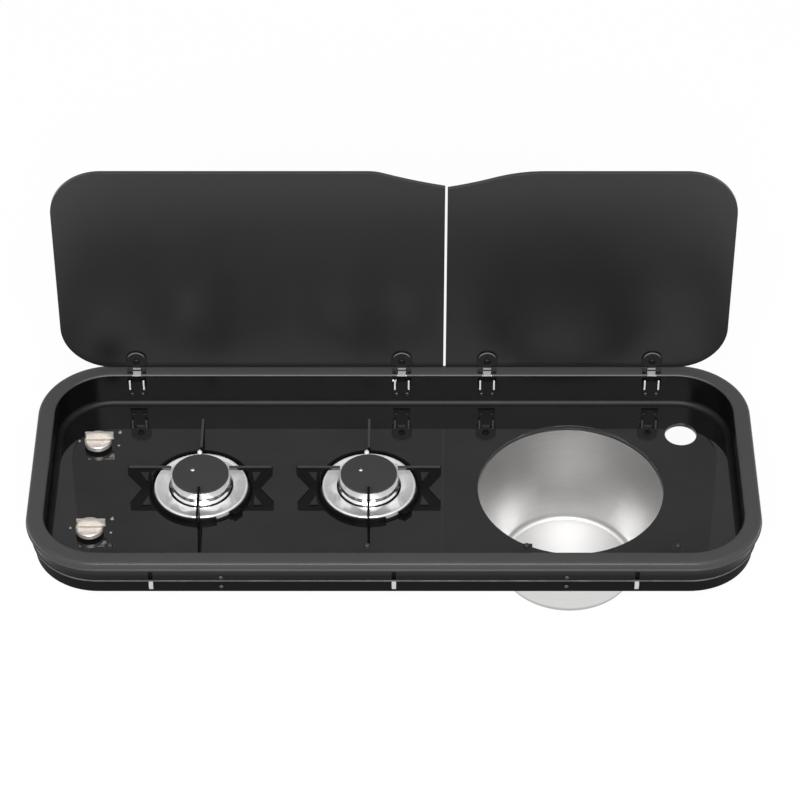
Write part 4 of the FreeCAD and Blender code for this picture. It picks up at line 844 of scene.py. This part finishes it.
def build_screw_tree():
    """Domed cross-head screw on every point, its head turned the way the point faces."""
    tree = bpy.data.node_groups.new("cross_head_screws", "GeometryNodeTree")

    def opening(name, kind, way="INPUT"):
        return tree.interface.new_socket(name, in_out=way, socket_type=kind)

    outlet = opening("Geometry", "NodeSocketGeometry", "OUTPUT")
    inlets = {"Geometry": opening("Geometry", "NodeSocketGeometry")}
    for name in ("Head Radius", "Head Height", "Shank Radius", "Shank Length"):
        inlets[name] = opening(name, "NodeSocketFloat")
    inlets["Finish"] = opening("Finish", "NodeSocketMaterial")
    sketch = Finish("", tree)
    source = tree.nodes.new("NodeGroupInput")

    def size(name):
        return Signal(sketch, source.outputs[name])

    def upright(length):
        return sketch.node("ShaderNodeCombineXYZ", None, {"Z": length})

    def lathe(start, end, radius, count):
        line = sketch.node("GeometryNodeCurvePrimitiveLine", None,
                           {"Start": upright(start), "End": upright(end)})
        line = sketch.node("GeometryNodeResampleCurve", None, {"Curve": line, "Count": count})
        ring = sketch.node("GeometryNodeCurvePrimitiveCircle", None,
                           {"Resolution": 20, "Radius": 1.0})
        return sketch.node("GeometryNodeCurveToMesh", None,
                           {"Curve": line, "Profile Curve": ring, "Scale": radius,
                            "Fill Caps": True})

    along = sketch.node("GeometryNodeSplineParameter", output="Factor")
    dome = size("Head Radius") * (1 - 0.72 * along * along * along) ** 0.5
    head = lathe(0.0, size("Head Height"), dome, 9)
    slot_length = size("Head Radius") * 1.05
    slot_width = size("Head Radius") * 0.24
    slot_depth = size("Head Height") * 1.1
    for long_side, short_side in ((slot_length, slot_width), (slot_width, slot_length)):
        bar_size = sketch.node("ShaderNodeCombineXYZ", None,
                               {"X": long_side, "Y": short_side, "Z": slot_depth})
        bar = sketch.node("GeometryNodeMeshCube", None, {"Size": bar_size})
        bar = sketch.node("GeometryNodeTransform", None,
                          {"Geometry": bar, "Translation": upright(size("Head Height"))})
        head = sketch.node("GeometryNodeMeshBoolean", {"operation": "DIFFERENCE"},
                           {"Mesh 1": head, "Mesh 2": bar})
    shank = lathe(-1 * size("Shank Length"), size("Head Height") * 0.05, size("Shank Radius"), 2)
    whole = sketch.node("GeometryNodeJoinGeometry", None, {"Geometry": head})
    tree.links.new(shank.socket, tree.nodes[-1].inputs[0])
    facing = sketch.node("GeometryNodeInputNamedAttribute", {"data_type": "FLOAT_VECTOR"},
                         {"Name": "facing"})
    turn = sketch.node("FunctionNodeAlignRotationToVector", {"axis": "Z"}, {"Vector": facing})
    placed = sketch.node("GeometryNodeInstanceOnPoints", None,
                         {"Points": size("Geometry"), "Instance": whole, "Rotation": turn})
    placed = sketch.node("GeometryNodeRealizeInstances", None, {"Geometry": placed})
    placed = sketch.node("GeometryNodeSetMaterial", None,
                         {"Geometry": placed, "Material": size("Finish")})
    sink = tree.nodes.new("NodeGroupOutput")
    tree.links.new(placed.socket, sink.inputs[outlet.name])
    return tree, {name: socket.identifier for name, socket in inlets.items()}


screw_tree, screw_inputs = build_screw_tree()


def screws(node, sizes):
    """Cross-head screws in place of a node's plain ones. Those at the back of the skirt face
    back."""
    head_radius, head_height, shank_radius = (size * MM for size in sizes)
    boxes = islands(node)
    points = bpy.data.meshes.new(f"{node}_points")
    places = []
    facings = []
    for low, high in boxes:
        back = node == "frame_screws" and low.y > 0
        seat = high.y - head_height if back else low.y + head_height
        places.append(((low.x + high.x) / 2, seat, (low.z + high.z) / 2))
        facings.append((0.0, 1.0 if back else -1.0, 0.0))
    points.from_pydata(places, [], [])
    facing = points.attributes.new("facing", "FLOAT_VECTOR", "POINT")
    for row, way in zip(facing.data, facings):
        row.vector = way
    made = bpy.data.objects.new(f"{node}_cross_head", points)
    scene.collection.objects.link(made)
    drive = made.modifiers.new("screws", "NODES")
    drive.node_group = screw_tree
    low, high = boxes[0]
    values = {"Head Radius": head_radius, "Head Height": head_height,
              "Shank Radius": shank_radius, "Shank Length": high.y - low.y - head_height,
              "Finish": finish_of(node)}
    for name, value in values.items():
        drive[screw_inputs[name]] = value
    bake(made, drive, SCREW_CREASE)
    stand_for(made, node)


screws("frame_screws", SMALL_SCREW)
screws("bracket_screws", SMALL_SCREW)
screws("left_hinge_clamp_screws", CLAMP_SCREW)
screws("right_hinge_clamp_screws", CLAMP_SCREW)


# Printed marks beside the knobs: a dot for off, a large and a small flame.
# Each has its place from the stem's axis and its size in millimetres.

OFF_DOT = (26, 0, 1.6)
LARGE_FLAME = (26, 25, 6.2)
SMALL_FLAME = (-24.5, 8.6, 4.4)


def flame_outline(x, y, size):
    """Outline of a flame mark with its point up."""
    turns = [math.radians(150 + 240 * step / 18) for step in range(19)]
    belly = [(x + size * 0.36 * math.cos(turn), y - size * 0.14 + size * 0.36 * math.sin(turn))
             for turn in turns]
    tip = [(0.12, 0.3), (0.0, 0.62), (-0.1, 0.28)]
    return belly + [(x + size * across, y + size * up) for across, up in tip]


def dot_outline(x, y, radius):
    """Outline of a round dot."""
    turns = [2 * math.pi * step / 20 for step in range(20)]
    return [(x + radius * math.cos(turn), y + radius * math.sin(turn)) for turn in turns]


marks = bmesh.new()
for stem in ("rear_valve_stem", "front_valve_stem"):
    x, y, _ = middle(stem)
    for draw, (across, up, size) in ((dot_outline, OFF_DOT), (flame_outline, LARGE_FLAME),
                                     (flame_outline, SMALL_FLAME)):
        outline = draw(x + across * MM, y + up * MM, size * MM)
        face = marks.faces.new([marks.verts.new((*spot, glass_top)) for spot in outline])
        grown = bmesh.ops.extrude_face_region(marks, geom=[face])
        lifted = [item for item in grown["geom"] if isinstance(item, bmesh.types.BMVert)]
        bmesh.ops.translate(marks, verts=lifted, vec=(0, 0, INK))
bmesh.ops.recalc_face_normals(marks, faces=marks.faces)
printed = show("knob_marks", marks, finishes["white_ink"])
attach(printed, "unit")


# Stage: pale floor, soft light and the camera

FLOOR_SIZE = 8.0
FLOOR_GAP = 2 * MM


def seen_directly(finish):
    """One for rays that show the background straight, in a mirror or through glass."""
    ways = [finish.node("ShaderNodeLightPath", output=name)
            for name in ("Is Camera Ray", "Is Glossy Ray", "Is Transmission Ray")]
    return finish.sum("MINIMUM", ways[0] + ways[1] + ways[2], 1.0)


def pale_floor():
    """Near-white floor that keeps a faint shadow."""
    white = Finish("floor_white")
    dust = white.noise(white.spot(), scale=3, detail=3.0)
    shade = white.blend(white.ramp(dust, *GRAIN_SPAN), grey(0.34), grey(0.36))
    straight = seen_directly(white)
    shade = white.blend(straight, shade, grey(0.1))
    matt = white.node("ShaderNodeBsdfDiffuse", None, {"Color": shade})
    glow = white.node("ShaderNodeEmission", None,
                      {"Color": grey(1.0), "Strength": straight * 0.93})
    both = white.node("ShaderNodeAddShader", None, {0: matt, 1: glow})
    white.node("ShaderNodeOutputMaterial", None, {"Surface": both})
    return white.material


floor_mesh = bmesh.new()
bmesh.ops.create_grid(floor_mesh, x_segments=1, y_segments=1, size=FLOOR_SIZE)
bmesh.ops.translate(floor_mesh, verts=floor_mesh.verts, vec=(0, 0, cad_box[0][2] - FLOOR_GAP))
floor = show("floor", floor_mesh, pale_floor())

# White round the unit, darker high at the back, and dim where it only gives light
world = bpy.data.worlds.new("studio")
scene.world = world
world.use_nodes = True
sky = Finish("", world.node_tree)
direct = seen_directly(sky)
depth, height = sky.parts(sky.node("ShaderNodeTexCoord", output="Generated"), "YZ")
high_back = sky.ramp(depth, -0.1, 0.3) * sky.ramp(height, 0.5, 0.62)
strength = direct * (1 - 0.45 * high_back) + (1 - direct) * 0.2
backdrop = sky.node("ShaderNodeBackground", None, {"Color": grey(1.0), "Strength": strength})
sky.node("ShaderNodeOutputWorld", None, {"Surface": backdrop})


def soft_box(name, place, size, power):
    """Rectangular diffused lamp turned towards the unit."""
    lamp = bpy.data.lights.new(name, "AREA")
    lamp.shape = "RECTANGLE"
    lamp.size, lamp.size_y = size
    lamp.energy = power
    holder = bpy.data.objects.new(name, lamp)
    holder.location = place
    holder.rotation_euler = (-Vector(place)).to_track_quat("-Z", "Y").to_euler()
    scene.collection.objects.link(holder)


soft_box("camera_box", place=(0.0, -3.35, 3.15), size=(3.0, 2.0), power=240)
soft_box("overhead_box", place=(0.0, -0.3, 2.0), size=(2.4, 0.6), power=5)

camera = bpy.data.cameras.new("camera")
camera.sensor_width = 36
camera.lens = 149.7
camera.clip_end = 50
viewpoint = bpy.data.objects.new("camera", camera)
viewpoint.location = (0.0074, -3.0171, 2.8524)
viewpoint.rotation_euler = (math.radians(48), 0, 0)
scene.collection.objects.link(viewpoint)
scene.camera = viewpoint
scene.view_settings.view_transform = "Standard"
